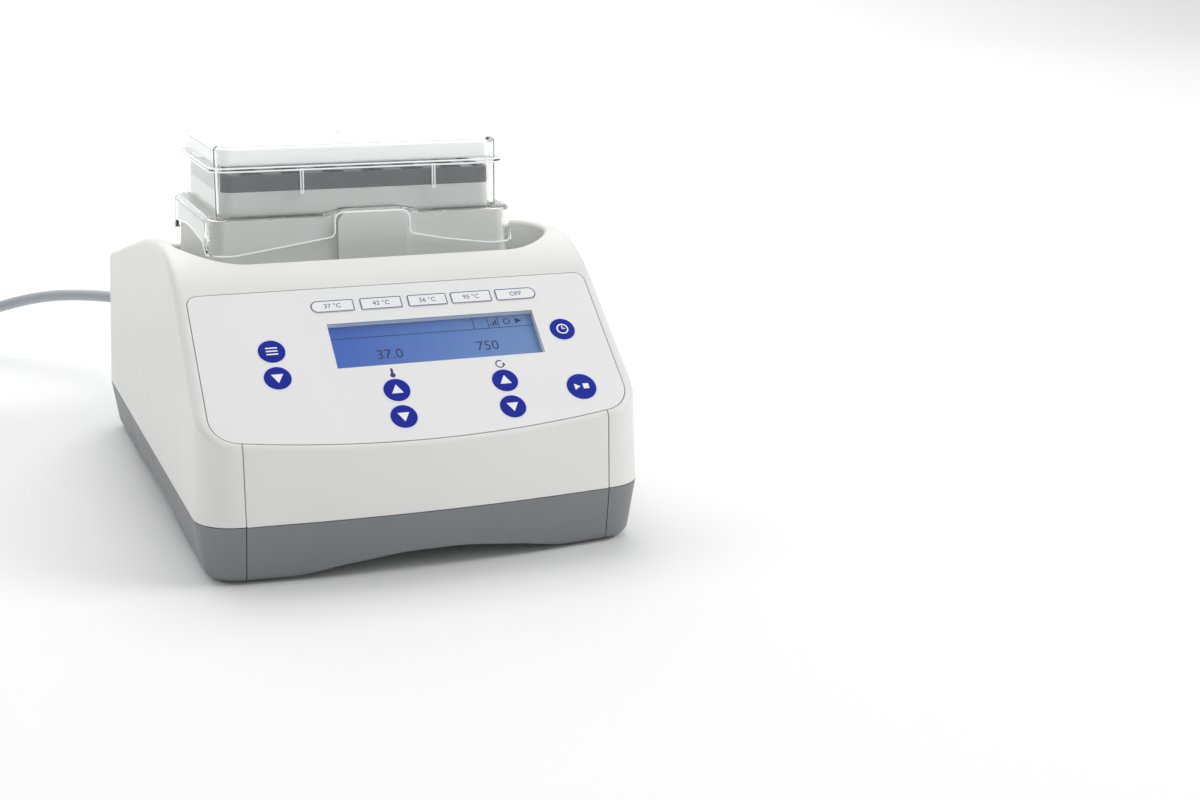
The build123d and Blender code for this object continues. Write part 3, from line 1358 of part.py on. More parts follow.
def build():
    """Every node of the part, by name."""
    form = rounded_housing()
    nodes = {
        "upper_housing": upper_housing(form),
        "front_fascia": front_fascia(form),
        "base_pan": base_pan(),
        "front_skirt": front_skirt(),
        "rubber_feet": rubber_feet(),
        "base_screws": base_screws(),
        "power_board": power_board(),
        "power_transformer": power_transformer(),
        "well_tray": well_tray(),
        "keypad_panel": keypad_panel(),
        "display_window": display_window(),
        "display_module": display_module(),
        "control_board": control_board(),
        "key_switches": key_switches(),
        "drive_chassis": drive_chassis(),
        "main_bearings": main_bearings(),
        "guide_bearings": guide_bearings(),
        "motor_stator": motor_stator(),
        "motor_rotor": motor_rotor(),
        "drive_shaft": drive_shaft(),
        "counterweight": counterweight(),
        "mixing_table": mixing_table(),
        "table_bearings": table_bearings(),
        "block_housing": block_housing(),
        "block_collar": block_collar(),
        "heating_block": heating_block(),
        "heater_plate": heater_plate(),
        "temperature_sensor": temperature_sensor(),
        "lid_cover": lid_cover(),
        "lid_insert": lid_insert(),
        "mains_inlet": mains_inlet(),
        "rocker_frame": rocker_frame(),
        "power_rocker": power_rocker(),
        "fuse_holder": fuse_holder(),
        "fuse_drawer": fuse_drawer(),
        "mains_fuses": mains_fuses(),
        "cord_connector": cord_connector(),
        "connector_relief": connector_relief(),
        "mains_cord": mains_cord(),
        "cord_coil": cord_coil(),
        "coil_tie": coil_tie(),
        "cord_tail": cord_tail(),
        "mains_plug": mains_plug(),
    }
    nodes.update(key_pieces())
    for number, (x, y) in enumerate(GUIDE_PLACES, 1):
        nodes[f"guide_crank_{number}"] = guide_crank(x, y)
    return nodes


def main():
    """Write one STEP file for each node."""
    os.makedirs("parts", exist_ok=True)
    for name, piece in build().items():
        export_step(piece, f"parts/{name}.step")


if __name__ == "__main__":
    main()
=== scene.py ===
import math

import bmesh
import bpy
from bpy.props import FloatProperty, FloatVectorProperty, PointerProperty
from bpy.types import Operator, Panel, PropertyGroup
from mathutils import Matrix, Vector


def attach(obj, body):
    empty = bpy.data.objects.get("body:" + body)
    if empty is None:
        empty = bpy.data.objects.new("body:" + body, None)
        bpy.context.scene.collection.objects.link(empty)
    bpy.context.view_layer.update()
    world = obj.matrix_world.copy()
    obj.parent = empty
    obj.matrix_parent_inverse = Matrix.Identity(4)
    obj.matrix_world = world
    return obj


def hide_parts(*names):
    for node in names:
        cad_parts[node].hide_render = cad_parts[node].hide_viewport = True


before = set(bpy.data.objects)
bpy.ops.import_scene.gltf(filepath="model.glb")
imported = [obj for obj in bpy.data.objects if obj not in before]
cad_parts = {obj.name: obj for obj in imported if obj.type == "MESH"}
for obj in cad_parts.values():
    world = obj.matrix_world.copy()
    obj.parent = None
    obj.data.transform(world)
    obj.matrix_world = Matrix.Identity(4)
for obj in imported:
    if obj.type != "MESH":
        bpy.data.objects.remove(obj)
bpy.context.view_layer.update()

bl_info = {
    "name": "Thermal Mixer",
    "version": (1, 0, 0),
    "blender": (4, 5, 0),
    "location": "3D View > Sidebar > Thermal Mixer",
    "description": "Finishes, printed legends, display, mains lead and studio of a bench-top thermal mixer",
    "category": "Object",
}

MM = 0.001

# Sizes of the frame that the finishes are fitted to, in millimetres.
PANEL_Y = -143.1            # lower edge of the keypad
PANEL_Z = 64.2
PANEL_SLOPE = 40.5          # degrees from level
KEY_PROUD = 0.3             # key faces above the keypad
KEY_R = 5.92
START_R = 6.91
LCD_DEPTH = 3.0             # display face below the keypad's face
LCD_X = (-34.7, 63.1)
LCD_S = (34.7, 59.5)
ROUND_KEYS = {
    "key_menu": (-62.0, 46.7, KEY_R),
    "key_down": (-62.0, 32.1, KEY_R),
    "key_temp_up": (-10.9, 20.5, KEY_R),
    "key_temp_down": (-10.9, 6.1, KEY_R),
    "key_speed_up": (39.8, 20.7, KEY_R),
    "key_speed_down": (39.8, 6.2, KEY_R),
    "key_short": (75.0, 47.0, KEY_R),
    "key_start_stop": (75.0, 13.7, START_R),
}
PRESET_S = 69.5
PRESET_H = 6.5
PRESET_KEYS = {
    "key_preset_1": (-40.0, -20.2, "37 °C"),
    "key_preset_2": (-17.0, 2.3, "42 °C"),
    "key_preset_3": (5.4, 23.9, "56 °C"),
    "key_preset_4": (26.1, 45.5, "95 °C"),
    "key_preset_off": (47.9, 67.6, "OFF"),
}

# Outer half sizes and heights of the lid, in millimetres.
BLOCK_Y = 12.3
LID_HALF = (69.4, 42.45)
LID_SKIRT_HALF = (75.6, 48.65)
LID_SHOULDER_Z = 141.0
LID_FLANGE_TOP = 165.8
RIM_BAND = 0.9              # depth from the skirt's outside that counts as its outer edge
WALL_CLEAR = 0.5            # distance past the lid's wall from which an edge is the flange's or a rib's

# Route of the lead from the connector to the coil, and from the coil to the plug, in millimetres.
LEAD_ROUTE = [
    (-62.0, 201.0, 46.0),
    (-62.0, 229.0, 46.0),
    (-71.0, 261.0, 47.4),
    (-94.0, 289.0, 47.0),
    (-122.0, 317.0, 43.0),
    (-154.0, 343.0, 31.0),
    (-188.0, 362.0, 15.0),
    (-221.0, 368.0, 3.5),
    (-246.0, 366.5, 3.5),
]
COIL_CENTRE = (-246.0, 316.0)
COIL_R = (51.2, 30.0)       # middle of the outermost and the innermost turn
COIL_Z = (4.5, 11.5)        # middle of the lower and the upper layer
COIL_TURNS = 3              # turns in each layer
TURN_POINTS = 16
TAIL_ROUTE = [
    (-296.5, 316.0, 11.5),
    (-296.0, 297.0, 12.5),
    (-290.0, 278.0, 15.5),
    (-280.0, 261.0, 18.0),
    (-268.0, 245.0, 18.2),
]

SHARP_ANGLE = 40.0          # degrees between faces from which an edge is broken
RIM_ANGLE = 50.0            # degrees between faces from which a lid edge is drawn bright
CIRCLE_POINTS = 48
CORNER_POINTS = 8

# Printed marks, in millimetres on the keypad's own plane.
KEY_GAP = 0.15              # slot between a round key and the keypad
LEGEND_S = 30.1             # middle of the two symbols under the display
PRESET_CORNER = 0.8
LINE_W = 0.35               # width of the thin lines on the display and of the menu bars
STATUS_H = 6.9              # height of the status bar of the display
STATUS_LINES = (33.9, 41.1, 46.0)
LEVEL_BARS = ((42.2, 0.0), (43.4, 1.2), (44.6, 2.4))   # place of each bar and its extra height
RING_X = 50.4
POINTER_X = 54.6

# The studio, in metres, and its camera in millimetres and radians.
SWEEP_Y = 2.8               # where the paper starts to turn up
SWEEP_R = 2.6
PAPER_FRONT_Y = -4.0
PAPER_HALF_WIDTH = 12.0
SENSOR_WIDTH = 36.0
FOCAL_SHARE = 1827.41 / 1200    # focal length over the width of the picture
CAMERA_PLACE = (-222.07, -888.83, 278.68)
CAMERA_YAW, CAMERA_PITCH, CAMERA_ROLL = 0.384841, 0.255159, 0.010727
WORLD_LIGHT = 0.4
# Each lamp: place, size, power in watts and the point that it faces.
LAMPS = {
    "key_light": ((1.9, -0.9, 1.8), (1.4, 1.4), 27.0, (0.0, 0.0, 0.1)),
    "top_light": ((0.2, 2.6, 3.4), (4.4, 4.4), 104.0, (0.0, 0.9, 0.0)),
    "front_light": ((0.3, -2.8, 1.5), (1.6, 1.2), 5.0, (0.0, 0.0, 0.1)),
    "left_light": ((-1.9, 0.8, 1.55), (1.6, 1.6), 9.0, (0.0, 0.0, 0.1)),
    "sweep_light": ((0.0, 2.9, 3.6), (6.0, 1.4), 46.0, (0.0, 5.0, 1.0)),
}


# ---------------------------------------------------------------- colours and nodes

def linear(code):
    """Linear colour of an sRGB hex code."""
    shares = [int(code[i:i + 2], 16) / 255 for i in (1, 3, 5)]
    return tuple(s / 12.92 if s <= 0.04045 else ((s + 0.055) / 1.055) ** 2.4 for s in shares)


def add(tree, kind, sockets=None, **settings):
    """Adds a node, with its settings, and gives each named input a value or a link."""
    node = tree.nodes.new(kind)
    for name, value in settings.items():
        setattr(node, name, value)
    for name, value in (sockets or {}).items():
        if isinstance(value, bpy.types.NodeSocket):
            tree.links.new(value, node.inputs[name])
        else:
            node.inputs[name].default_value = value
    return node


def blank(name):
    """A new material with an empty node tree, and that tree."""
    material = bpy.data.materials.new(name)
    material.use_nodes = True
    material.node_tree.nodes.clear()
    return material, material.node_tree


def rgba(colour, share=1.0):
    """A colour as four numbers, darkened to a share."""
    return (colour[0] * share, colour[1] * share, colour[2] * share, 1.0)


def mottled(tree, colour, size, spread):
    """Colour that drifts by a few percent over patches of a size in metres."""
    place = add(tree, "ShaderNodeTexCoord").outputs["Object"]
    cloud = add(tree, "ShaderNodeTexNoise", {"Vector": place, "Scale": 1 / size, "Detail": 3.0})
    ramp = add(tree, "ShaderNodeValToRGB", {"Fac": cloud.outputs["Fac"]})
    ramp.color_ramp.elements[0].position = 0.3
    ramp.color_ramp.elements[1].position = 0.7
    ramp.color_ramp.elements[0].color = rgba(colour, 1 - spread)
    ramp.color_ramp.elements[1].color = rgba(colour)
    return ramp.outputs["Color"]


def grain(tree, size, height, strength):
    """Normal of a fine grain of a size in metres and a height in metres."""
    place = add(tree, "ShaderNodeTexCoord").outputs["Object"]
    fine = add(tree, "ShaderNodeTexNoise", {"Vector": place, "Scale": 1 / size, "Detail": 2.0})
    sockets = {"Height": fine.outputs["Fac"], "Distance": height, "Strength": strength}
    return add(tree, "ShaderNodeBump", sockets).outputs["Normal"]


def worn(tree, low, high, size):
    """Roughness between two values in soft patches of a size in metres, as handling leaves it."""
    place = add(tree, "ShaderNodeTexCoord").outputs["Object"]
    cloud = add(tree, "ShaderNodeTexNoise", {"Vector": place, "Scale": 1 / size, "Detail": 4.0})
    reach = {"From Min": 0.3, "From Max": 0.7, "To Min": low, "To Max": high}
    return add(tree, "ShaderNodeMapRange", {"Value": cloud.outputs["Fac"], **reach}).outputs["Result"]


def finish(tree, sockets):
    """Principled surface with these sockets, joined to the output."""
    surface = add(tree, "ShaderNodeBsdfPrincipled", sockets)
    add(tree, "ShaderNodeOutputMaterial", {"Surface": surface.outputs["BSDF"]})


# ---------------------------------------------------------------- materials

def moulded(name, colour, rough, grain_size=0.0009, height=0.00004, spread=0.03, ior=1.53, glow=0.0):
    """Moulded plastic from a spark-eroded tool; its 0.2 mm grain is drawn coarser, to show."""
    material, tree = blank(name)
    finish(
        tree,
        {
            "Base Color": mottled(tree, colour, 0.06, spread),
            "Roughness": worn(tree, rough - 0.05, rough + 0.05, 0.02),
            "IOR": ior,
            "Normal": grain(tree, grain_size, height, 0.35),
            "Emission Color": rgba(colour),
            "Emission Strength": glow,
        },
    )
    return material


def glossy(name, colour, rough, ior=1.5, glow=0.0):
    """Smooth hard surface straight from a polished tool or an ink, with slight finger marks."""
    material, tree = blank(name)
    finish(
        tree,
        {
            "Base Color": mottled(tree, colour, 0.01, 0.04),
            "Roughness": worn(tree, rough, rough + 0.08, 0.006),
            "IOR": ior,
            "Emission Color": rgba(colour),
            "Emission Strength": glow,
        },
    )
    return material


def milled(name, colour, rough, stretch):
    """Cut metal with fine tool lines along the axis whose stretch is smallest."""
    material, tree = blank(name)
    place = add(tree, "ShaderNodeTexCoord").outputs["Object"]
    lines = add(tree, "ShaderNodeMapping", {"Vector": place, "Scale": stretch})
    along = lines.outputs["Vector"]
    cut = add(tree, "ShaderNodeTexNoise", {"Vector": along, "Scale": 1 / 0.001, "Detail": 3.0})
    reach = {"From Min": 0.3, "From Max": 0.7, "To Min": rough - 0.08, "To Max": rough + 0.1}
    tone = add(tree, "ShaderNodeMapRange", {"Value": cut.outputs["Fac"], **reach})
    bump = add(tree, "ShaderNodeBump", {"Height": cut.outputs["Fac"], "Distance": 0.00002, "Strength": 0.4})
    finish(
        tree,
        {
            "Base Color": mottled(tree, colour, 0.02, 0.05),
            "Metallic": 1.0,
            "Roughness": tone.outputs["Result"],
            "Normal": bump.outputs["Normal"],
        },
    )
    return material


def clear(name, colour, rough, ior):
    """Clear plastic, very slightly hazed by wiping, that lets the lamps through to what it covers."""
    material, tree = blank(name)
    surface = add(
        tree,
        "ShaderNodeBsdfPrincipled",
        {
            "Base Color": rgba(colour),
            "Roughness": worn(tree, rough, rough + 0.03, 0.015),
            "Transmission Weight": 1.0,
            "IOR": ior,
        },
    )
    through = add(tree, "ShaderNodeBsdfTransparent", {"Color": rgba(colour, 0.99)})
    lamp_ray = add(tree, "ShaderNodeLightPath").outputs["Is Shadow Ray"]
    shades = {0: lamp_ray, 1: surface.outputs["BSDF"], 2: through.outputs["BSDF"]}
    both = add(tree, "ShaderNodeMixShader", shades)
    add(tree, "ShaderNodeOutputMaterial", {"Surface": both.outputs["Shader"]})
    return material


def display_face(colours):
    """Backlit blue liquid crystal, with painted light that makes it paler to the right, where the lamps
    wash it out.
    """
    material, tree = blank("Liquid crystal film laminated")
    place = add(tree, "ShaderNodeTexCoord").outputs["Object"]
    axes = add(tree, "ShaderNodeSeparateXYZ", {"Vector": place})
    across = add(
        tree,
        "ShaderNodeMapRange",
        {"Value": axes.outputs["X"], "From Min": LCD_X[0] * MM, "From Max": LCD_X[1] * MM},
    )
    # Painted light: the colour pales from left to right, standing in for the wash of light from the right.
    ramp = add(tree, "ShaderNodeValToRGB", {"Fac": across.outputs["Result"]})
    ramp.color_ramp.elements[0].color = rgba(colours.display_deep)
    ramp.color_ramp.elements[1].color = rgba(colours.display_right_painted_light)
    pixel = add(tree, "ShaderNodeTexNoise", {"Vector": place, "Scale": 1 / 0.0004, "Detail": 1.0})
    relief = {"Height": pixel.outputs["Fac"], "Distance": 0.00001, "Strength": 0.2}
    bump = add(tree, "ShaderNodeBump", relief)
    finish(
        tree,
        {
            "Base Color": ramp.outputs["Color"],
            "Roughness": 0.3,
            "IOR": 1.3,
            "Emission Color": ramp.outputs["Color"],
            "Emission Strength": 0.12,
            "Normal": bump.outputs["Normal"],
        },
    )
    return material


def keypad_film(colours):
    """Screen-printed polyester film over the keypad plate: fine satin grain, very slightly cool grey."""
    material, tree = blank("Polyester film screen printed")
    finish(
        tree,
        {
            "Base Color": mottled(tree, colours.film, 0.05, 0.02),
            "Roughness": worn(tree, 0.34, 0.44, 0.03),
            "IOR": 1.6,
            "Normal": grain(tree, 0.0006, 0.00002, 0.3),
        },
    )
    return material


def build_materials(colours):
    """Every finish, by a short name."""
    return {
        # Spark-eroded ABS looks matt from the front and catches a soft sheen at a low angle.
        "white": moulded("ABS moulded white", colours.housing, 0.42),
        # The base is the same ABS in grey, a little rougher, so that its arches shade evenly.
        "grey": moulded("ABS moulded grey", colours.base, 0.46),
        "well": moulded("ABS moulded charcoal", linear("#4A4B4C"), 0.5),
        "body": moulded("ABS moulded light grey", colours.block_body, 0.48),
        # Glass-filled nylon is duller than ABS and shows a faint fibre mottle.
        "collar": moulded("Nylon moulded dark grey", colours.collar, 0.55, 0.0012, 0.00005, 0.08),
        # Closed-cell polyethylene foam; a faint glow is painted light that keeps it bright under the clear
        # lid.
        "foam": moulded(
            "Polyethylene foam cut white with painted glow", linear("#FBFBFA"), 0.75, 0.0007, 0.00008, 0.01, 1.5, 0.18),
        "film": keypad_film(colours),
        "ink": glossy("Screen ink dark blue", colours.legend, 0.4),
        "halo": glossy("Screen ink pale blue", linear("#EEF0FC"), 0.4),
        "blue": glossy("Polyester film printed blue", colours.key_blue, 0.36, 1.3),
        "pill": glossy("Polyester film printed white", colours.key_white, 0.34),
        "symbol": glossy("Screen ink white", linear("#FAFAFA"), 0.4),
        "lcd": display_face(colours),
        "segment": glossy("Liquid crystal segments dark", colours.segment, 0.35),
        # Cast acrylic is clearer and harder than the lid, with sharp reflections.
        "window": clear("Acrylic cast clear", (1.0, 1.0, 1.0), 0.03, 1.3),
        # Polycarbonate bends light strongly, so its edges show as bright and dark pairs of lines.
        "lid": clear("Polycarbonate moulded clear", linear("#FBFCFC"), 0.02, 1.58),
        # The lid's outer edges get thin rods that glow faintly, a painted highlight for the bright lines
        # that its polished mould edges show.
        "edge": glossy("Polycarbonate edge painted highlight", linear("#F4F6F6"), 0.12, 1.58, 0.25),
        "alu": milled("Aluminium milled clear anodised", linear("#B9BABC"), 0.32, (1.0, 0.04, 1.0)),
        "cast": milled("Aluminium die cast", linear("#A9AAAB"), 0.5, (0.6, 0.6, 0.6)),
        "steel": milled("Steel turned zinc plated", linear("#C4C6C8"), 0.28, (0.05, 1.0, 1.0)),
        "copper": milled("Copper wound enamelled", linear("#B4612F"), 0.35, (1.0, 1.0, 0.1)),
        "rubber": moulded("Nitrile rubber moulded black", linear("#1F1F20"), 0.72, 0.0010, 0.00006, 0.12),
        "pbt": moulded("Polybutylene moulded black", linear("#1B1B1C"), 0.4),
        "board": glossy("Glass epoxy solder masked", linear("#1F5A36"), 0.3),
        "silicone": moulded("Silicone rubber calendered", linear("#8E3B2A"), 0.6),
        "resin": moulded("Epoxy potted black", linear("#202226"), 0.35),
        "glass": clear("Glass drawn clear", (1.0, 1.0, 1.0), 0.02, 1.5),
        # Plasticised PVC has a soft satin skin with faint drag lines from the extruder.
        "lead": moulded("Soft vinyl extruded grey", colours.lead, 0.5, 0.0015, 0.00004, 0.05, 1.54),
    }


MATERIALS = {}


def paint(piece, key):
    """Gives a piece its finish."""
    piece.data.materials.clear()
    piece.data.materials.append(MATERIALS[key])


# ---------------------------------------------------------------- mesh helpers

def soften(name, width):
    """Breaks the sharp edges of a frame node by a small round, which only the finish shows."""
    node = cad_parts[name]
    weld = node.modifiers.new("Weld", "WELD")
    weld.merge_threshold = 0.000002
    bevel = node.modifiers.new("Broken edges", "BEVEL")
    bevel.width = width
    bevel.segments = 2
    bevel.limit_method = "ANGLE"
    bevel.angle_limit = math.radians(SHARP_ANGLE)
    bevel.use_clamp_overlap = True
    bevel.harden_normals = False
    even = node.modifiers.new("Even normals", "WEIGHTED_NORMAL")
    even.keep_sharp = True
    node.data.shade_smooth()
    return node


def piece_from(name, mesh, key, body):
    """A new piece from a mesh, painted and riding on a body."""
    piece = bpy.data.objects.new(name, mesh)
    bpy.context.scene.collection.objects.link(piece)
    paint(piece, key)
    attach(piece, body)
    return piece


def curve_mesh(curve_object, name):
    """Mesh of a curve object, which is then removed."""
    bpy.context.view_layer.update()
    graph = bpy.context.evaluated_depsgraph_get()
    mesh = bpy.data.meshes.new_from_object(curve_object.evaluated_get(graph))
    mesh.name = name
    data = curve_object.data
    bpy.data.objects.remove(curve_object)
    bpy.data.curves.remove(data)
    return mesh


def flat_shape(name, loops, thickness):
    """Thin plate from closed loops of (x, y) points, where an inner loop makes a hole."""
    curve = bpy.data.curves.new(name, "CURVE")
    curve.dimensions = "2D"
    curve.fill_mode = "BOTH"
    curve.extrude = thickness / 2
    for loop in loops:
        spline = curve.splines.new("POLY")
        spline.points.add(len(loop) - 1)
        for point, (x, y) in zip(spline.points, loop):
            point.co = (x, y, thickness / 2, 1.0)
        spline.use_cyclic_u = True
    holder = bpy.data.objects.new(name, curve)
    bpy.context.scene.collection.objects.link(holder)
    return curve_mesh(holder, name)


def flat_text(name, words, height, thickness):
    """Thin plate of plain lettering, centred on the origin."""
    curve = bpy.data.curves.new(name, "FONT")
    curve.body = words
    curve.size = height
    curve.align_x = "CENTER"
    curve.align_y = "CENTER"
    curve.extrude = thickness / 2
    holder = bpy.data.objects.new(name, curve)
    bpy.context.scene.collection.objects.link(holder)
    mesh = curve_mesh(holder, name)
    mesh.transform(Matrix.Translation((0, 0, thickness / 2)))
    return mesh


def outer_edge(place):
    """Whether a place, in metres, lies on the outside of the lid's skirt, flange or ribs."""
    x, y, z = abs(place.x / MM), abs(place.y / MM - BLOCK_Y), place.z / MM
    if z < LID_SHOULDER_Z:
        return x > LID_SKIRT_HALF[0] - RIM_BAND or y > LID_SKIRT_HALF[1] - RIM_BAND
    beyond_wall = x > LID_HALF[0] + WALL_CLEAR or y > LID_HALF[1] + WALL_CLEAR
    return z < LID_FLANGE_TOP + 0.1 and beyond_wall


def edge_highlight_rods(name, node, keep, radius):
    """Thin rods along the sharp edges of a node whose middle a test keeps, to carry a painted highlight of
    those edges.
    """
    grid = bmesh.new()
    grid.from_mesh(node.data)
    bmesh.ops.transform(grid, matrix=node.matrix_world, verts=grid.verts)
    bmesh.ops.remove_doubles(grid, verts=grid.verts, dist=0.000002)
    grid.edges.index_update()
    left = {}       # edges not yet drawn, by number, so that every run draws them in the same order
    for edge in grid.edges:
        middle = (edge.verts[0].co + edge.verts[1].co) / 2
        if len(edge.link_faces) == 2 and edge.calc_face_angle() > math.radians(RIM_ANGLE) and keep(middle):
            left[edge.index] = edge
    curve = bpy.data.curves.new(name, "CURVE")
    curve.dimensions = "3D"
    curve.bevel_depth = radius
    curve.bevel_resolution = 2
    curve.use_fill_caps = True
    while left:
        edge = left.pop(next(iter(left)))
        chain = [edge.verts[0], edge.verts[1]]
        for end in (False, True):
            while True:
                tip = chain[-1] if end else chain[0]
                onward = [other for other in tip.link_edges if other.index in left]
                if not onward:
                    break
                left.pop(onward[0].index)
                chain.insert(len(chain) if end else 0, onward[0].other_vert(tip))
        spline = curve.splines.new("POLY")
        spline.points.add(len(chain) - 1)
        for point, corner in zip(spline.points, chain):
            point.co = (*corner.co, 1.0)
    grid.free()
    holder = bpy.data.objects.new(name, curve)
    bpy.context.scene.collection.objects.link(holder)
    return curve_mesh(holder, name)


def keypad_place(x, s, h):
    """Matrix from a spot's own plane to the keypad: x across, s up the slope, h above, in millimetres."""
    slope = math.radians(PANEL_SLOPE)
    across = Vector((1, 0, 0))
    up = Vector((0, math.cos(slope), math.sin(slope)))
    out = Vector((0, -math.sin(slope), math.cos(slope)))
    origin = Vector((0, PANEL_Y, PANEL_Z)) + across * x + up * s + out * h
    turn = Matrix((across, up, out)).transposed().to_4x4()
    return Matrix.Translation(origin * MM) @ turn


def circle(radius, x=0.0, y=0.0):
    """Loop of points on a circle, in metres from millimetres."""
    turns = [math.tau * i / CIRCLE_POINTS for i in range(CIRCLE_POINTS)]
    return [((x + radius * math.cos(a)) * MM, (y + radius * math.sin(a)) * MM) for a in turns]


def rounded_loop(left, right, low, high, radii):
    """Loop of a rectangle with its own radius at each corner, from lower left, counter-clockwise."""
    corners = [(left, low, 180), (right, low, 270), (right, high, 0), (left, high, 90)]
    inward = [(1, 1), (-1, 1), (-1, -1), (1, -1)]
    loop = []
    for (x, y, start), (ix, iy), r in zip(corners, inward, radii):
        for i in range(CORNER_POINTS + 1):
            a = math.radians(start + 90 * i / CORNER_POINTS)
            loop.append(((x + ix * r + r * math.cos(a)) * MM, (y + iy * r + r * math.sin(a)) * MM))
    return loop


def triangle(base, height, up):
    """Loop of an arrow head about the origin."""
    tip = height * 0.6 if up else -height * 0.6
    foot = -height * 0.4 if up else height * 0.4
    return [(-base / 2 * MM, foot * MM), (base / 2 * MM, foot * MM), (0.0, tip * MM)]


def thermometer():
    """Loop of a small thermometer about the origin."""
    bulb, stem, top = 1.25, 0.6, 1.9
    start = math.degrees(math.acos(stem / bulb))
    foot = [math.radians(180 - start + (180 + 2 * start) * i / 24) for i in range(25)]
    loop = [(bulb * math.cos(a) * MM, (bulb * math.sin(a) - 1.4) * MM) for a in foot]
    head = [math.pi * i / 8 for i in range(9)]
    return loop + [(stem * math.cos(a) * MM, (stem * math.sin(a) + top) * MM) for a in head]


def turning_arrow():
    """Loop of an open ring with an arrow head, about the origin."""
    outer, inner, first, last = 2.2, 1.6, 60, 340
    sweep = [math.radians(first + (last - first) * i / 32) for i in range(33)]
    tip = [(1.0, sweep[-1]), (1.9, sweep[-1] + 0.75), (2.8, sweep[-1])]
    ring = [(inner, a) for a in sweep] + tip + [(outer, a) for a in reversed(sweep)]
    return [(r * math.cos(a) * MM, r * math.sin(a) * MM) for r, a in ring]


def box_loop(x0, x1, y0, y1):
    """Loop of a plain rectangle, in metres from millimetres."""
    return [(x0 * MM, y0 * MM), (x1 * MM, y0 * MM), (x1 * MM, y1 * MM), (x0 * MM, y1 * MM)]


# ---------------------------------------------------------------- settings

def colour_setting(name, description, code):
    """A colour that the user may change, by default an sRGB hex code."""
    return FloatVectorProperty(
        name=name, description=description, subtype="COLOR", size=3, default=linear(code))


class MixerColours(PropertyGroup):
    """Colours of the visible finishes."""

    housing: colour_setting("Housing", "White moulded housing", "#ECECE9")
    base: colour_setting("Base", "Grey moulded base", "#808385")
    film: colour_setting("Keypad", "Printed film of the keypad", "#F2F3F2")
    key_blue: colour_setting("Blue keys", "Print of the round keys", "#1226A0")
    key_white: colour_setting("White keys", "Print of the preset keys", "#F8F8FA")
    legend: colour_setting("Legends", "Ink of the outlines and numbers", "#3A3C78")
    display_deep: colour_setting("Display, left", "Display at its left end", "#3A5CA8")
    # Paler colour of the display's right end: painted light, not the display's own colour.
    display_right_painted_light: colour_setting("Display, right", "Display at its right end", "#6482B0")
    segment: colour_setting("Segments", "Dark parts of the display", "#18224C")
    block_body: colour_setting("Block body", "Light grey body of the block", "#E7E9E6")
    collar: colour_setting("Collar", "Dark collar round the block", "#646668")
    lead: colour_setting("Lead", "Mains lead", "#B0B6BC")


class MixerSizes(PropertyGroup):
    """Sizes of the details that the finishes add."""

    edge_break: FloatProperty(
        name="Edge break", description="Round on the sharp edges of moulded parts", default=0.0005,
        min=0.0001, max=0.002, subtype="DISTANCE", unit="LENGTH")
    ink_height: FloatProperty(
        name="Ink height", description="Thickness of printed legends", default=0.00003,
        min=0.00001, max=0.0002, subtype="DISTANCE", unit="LENGTH")
    halo_width: FloatProperty(
        name="Halo", description="Width of the pale ring round each blue key, in millimetres", default=0.75,
        min=0.1, max=2.0)
    outline_width: FloatProperty(
        name="Outline", description="Width of the outline of a preset key, in millimetres", default=0.4,
        min=0.1, max=1.0)
    preset_letters: FloatProperty(
        name="Preset numbers", description="Height of the numbers on the preset keys", default=0.0034,
        min=0.001, max=0.006, subtype="DISTANCE", unit="LENGTH")
    display_letters: FloatProperty(
        name="Display numbers", description="Height of the numbers on the display", default=0.0074,
        min=0.002, max=0.012, subtype="DISTANCE", unit="LENGTH")
    # Radius of the glowing rods that paint a highlight on the lid's edges.
    lid_highlight_rod: FloatProperty(
        name="Lid edges", description="Radius of the bright edges of the lid", default=0.00038,
        min=0.0001, max=0.001, subtype="DISTANCE", unit="LENGTH")
    lead_diameter: FloatProperty(
        name="Lead diameter", description="Outside diameter of the mains lead", default=0.007,
        min=0.004, max=0.012, subtype="DISTANCE", unit="LENGTH")
    lead_length: FloatProperty(
        name="Lead length", description="Length of the mains lead from connector to plug", default=1.87,
        min=0.5, max=3.0, subtype="DISTANCE", unit="LENGTH")


# ---------------------------------------------------------------- operators

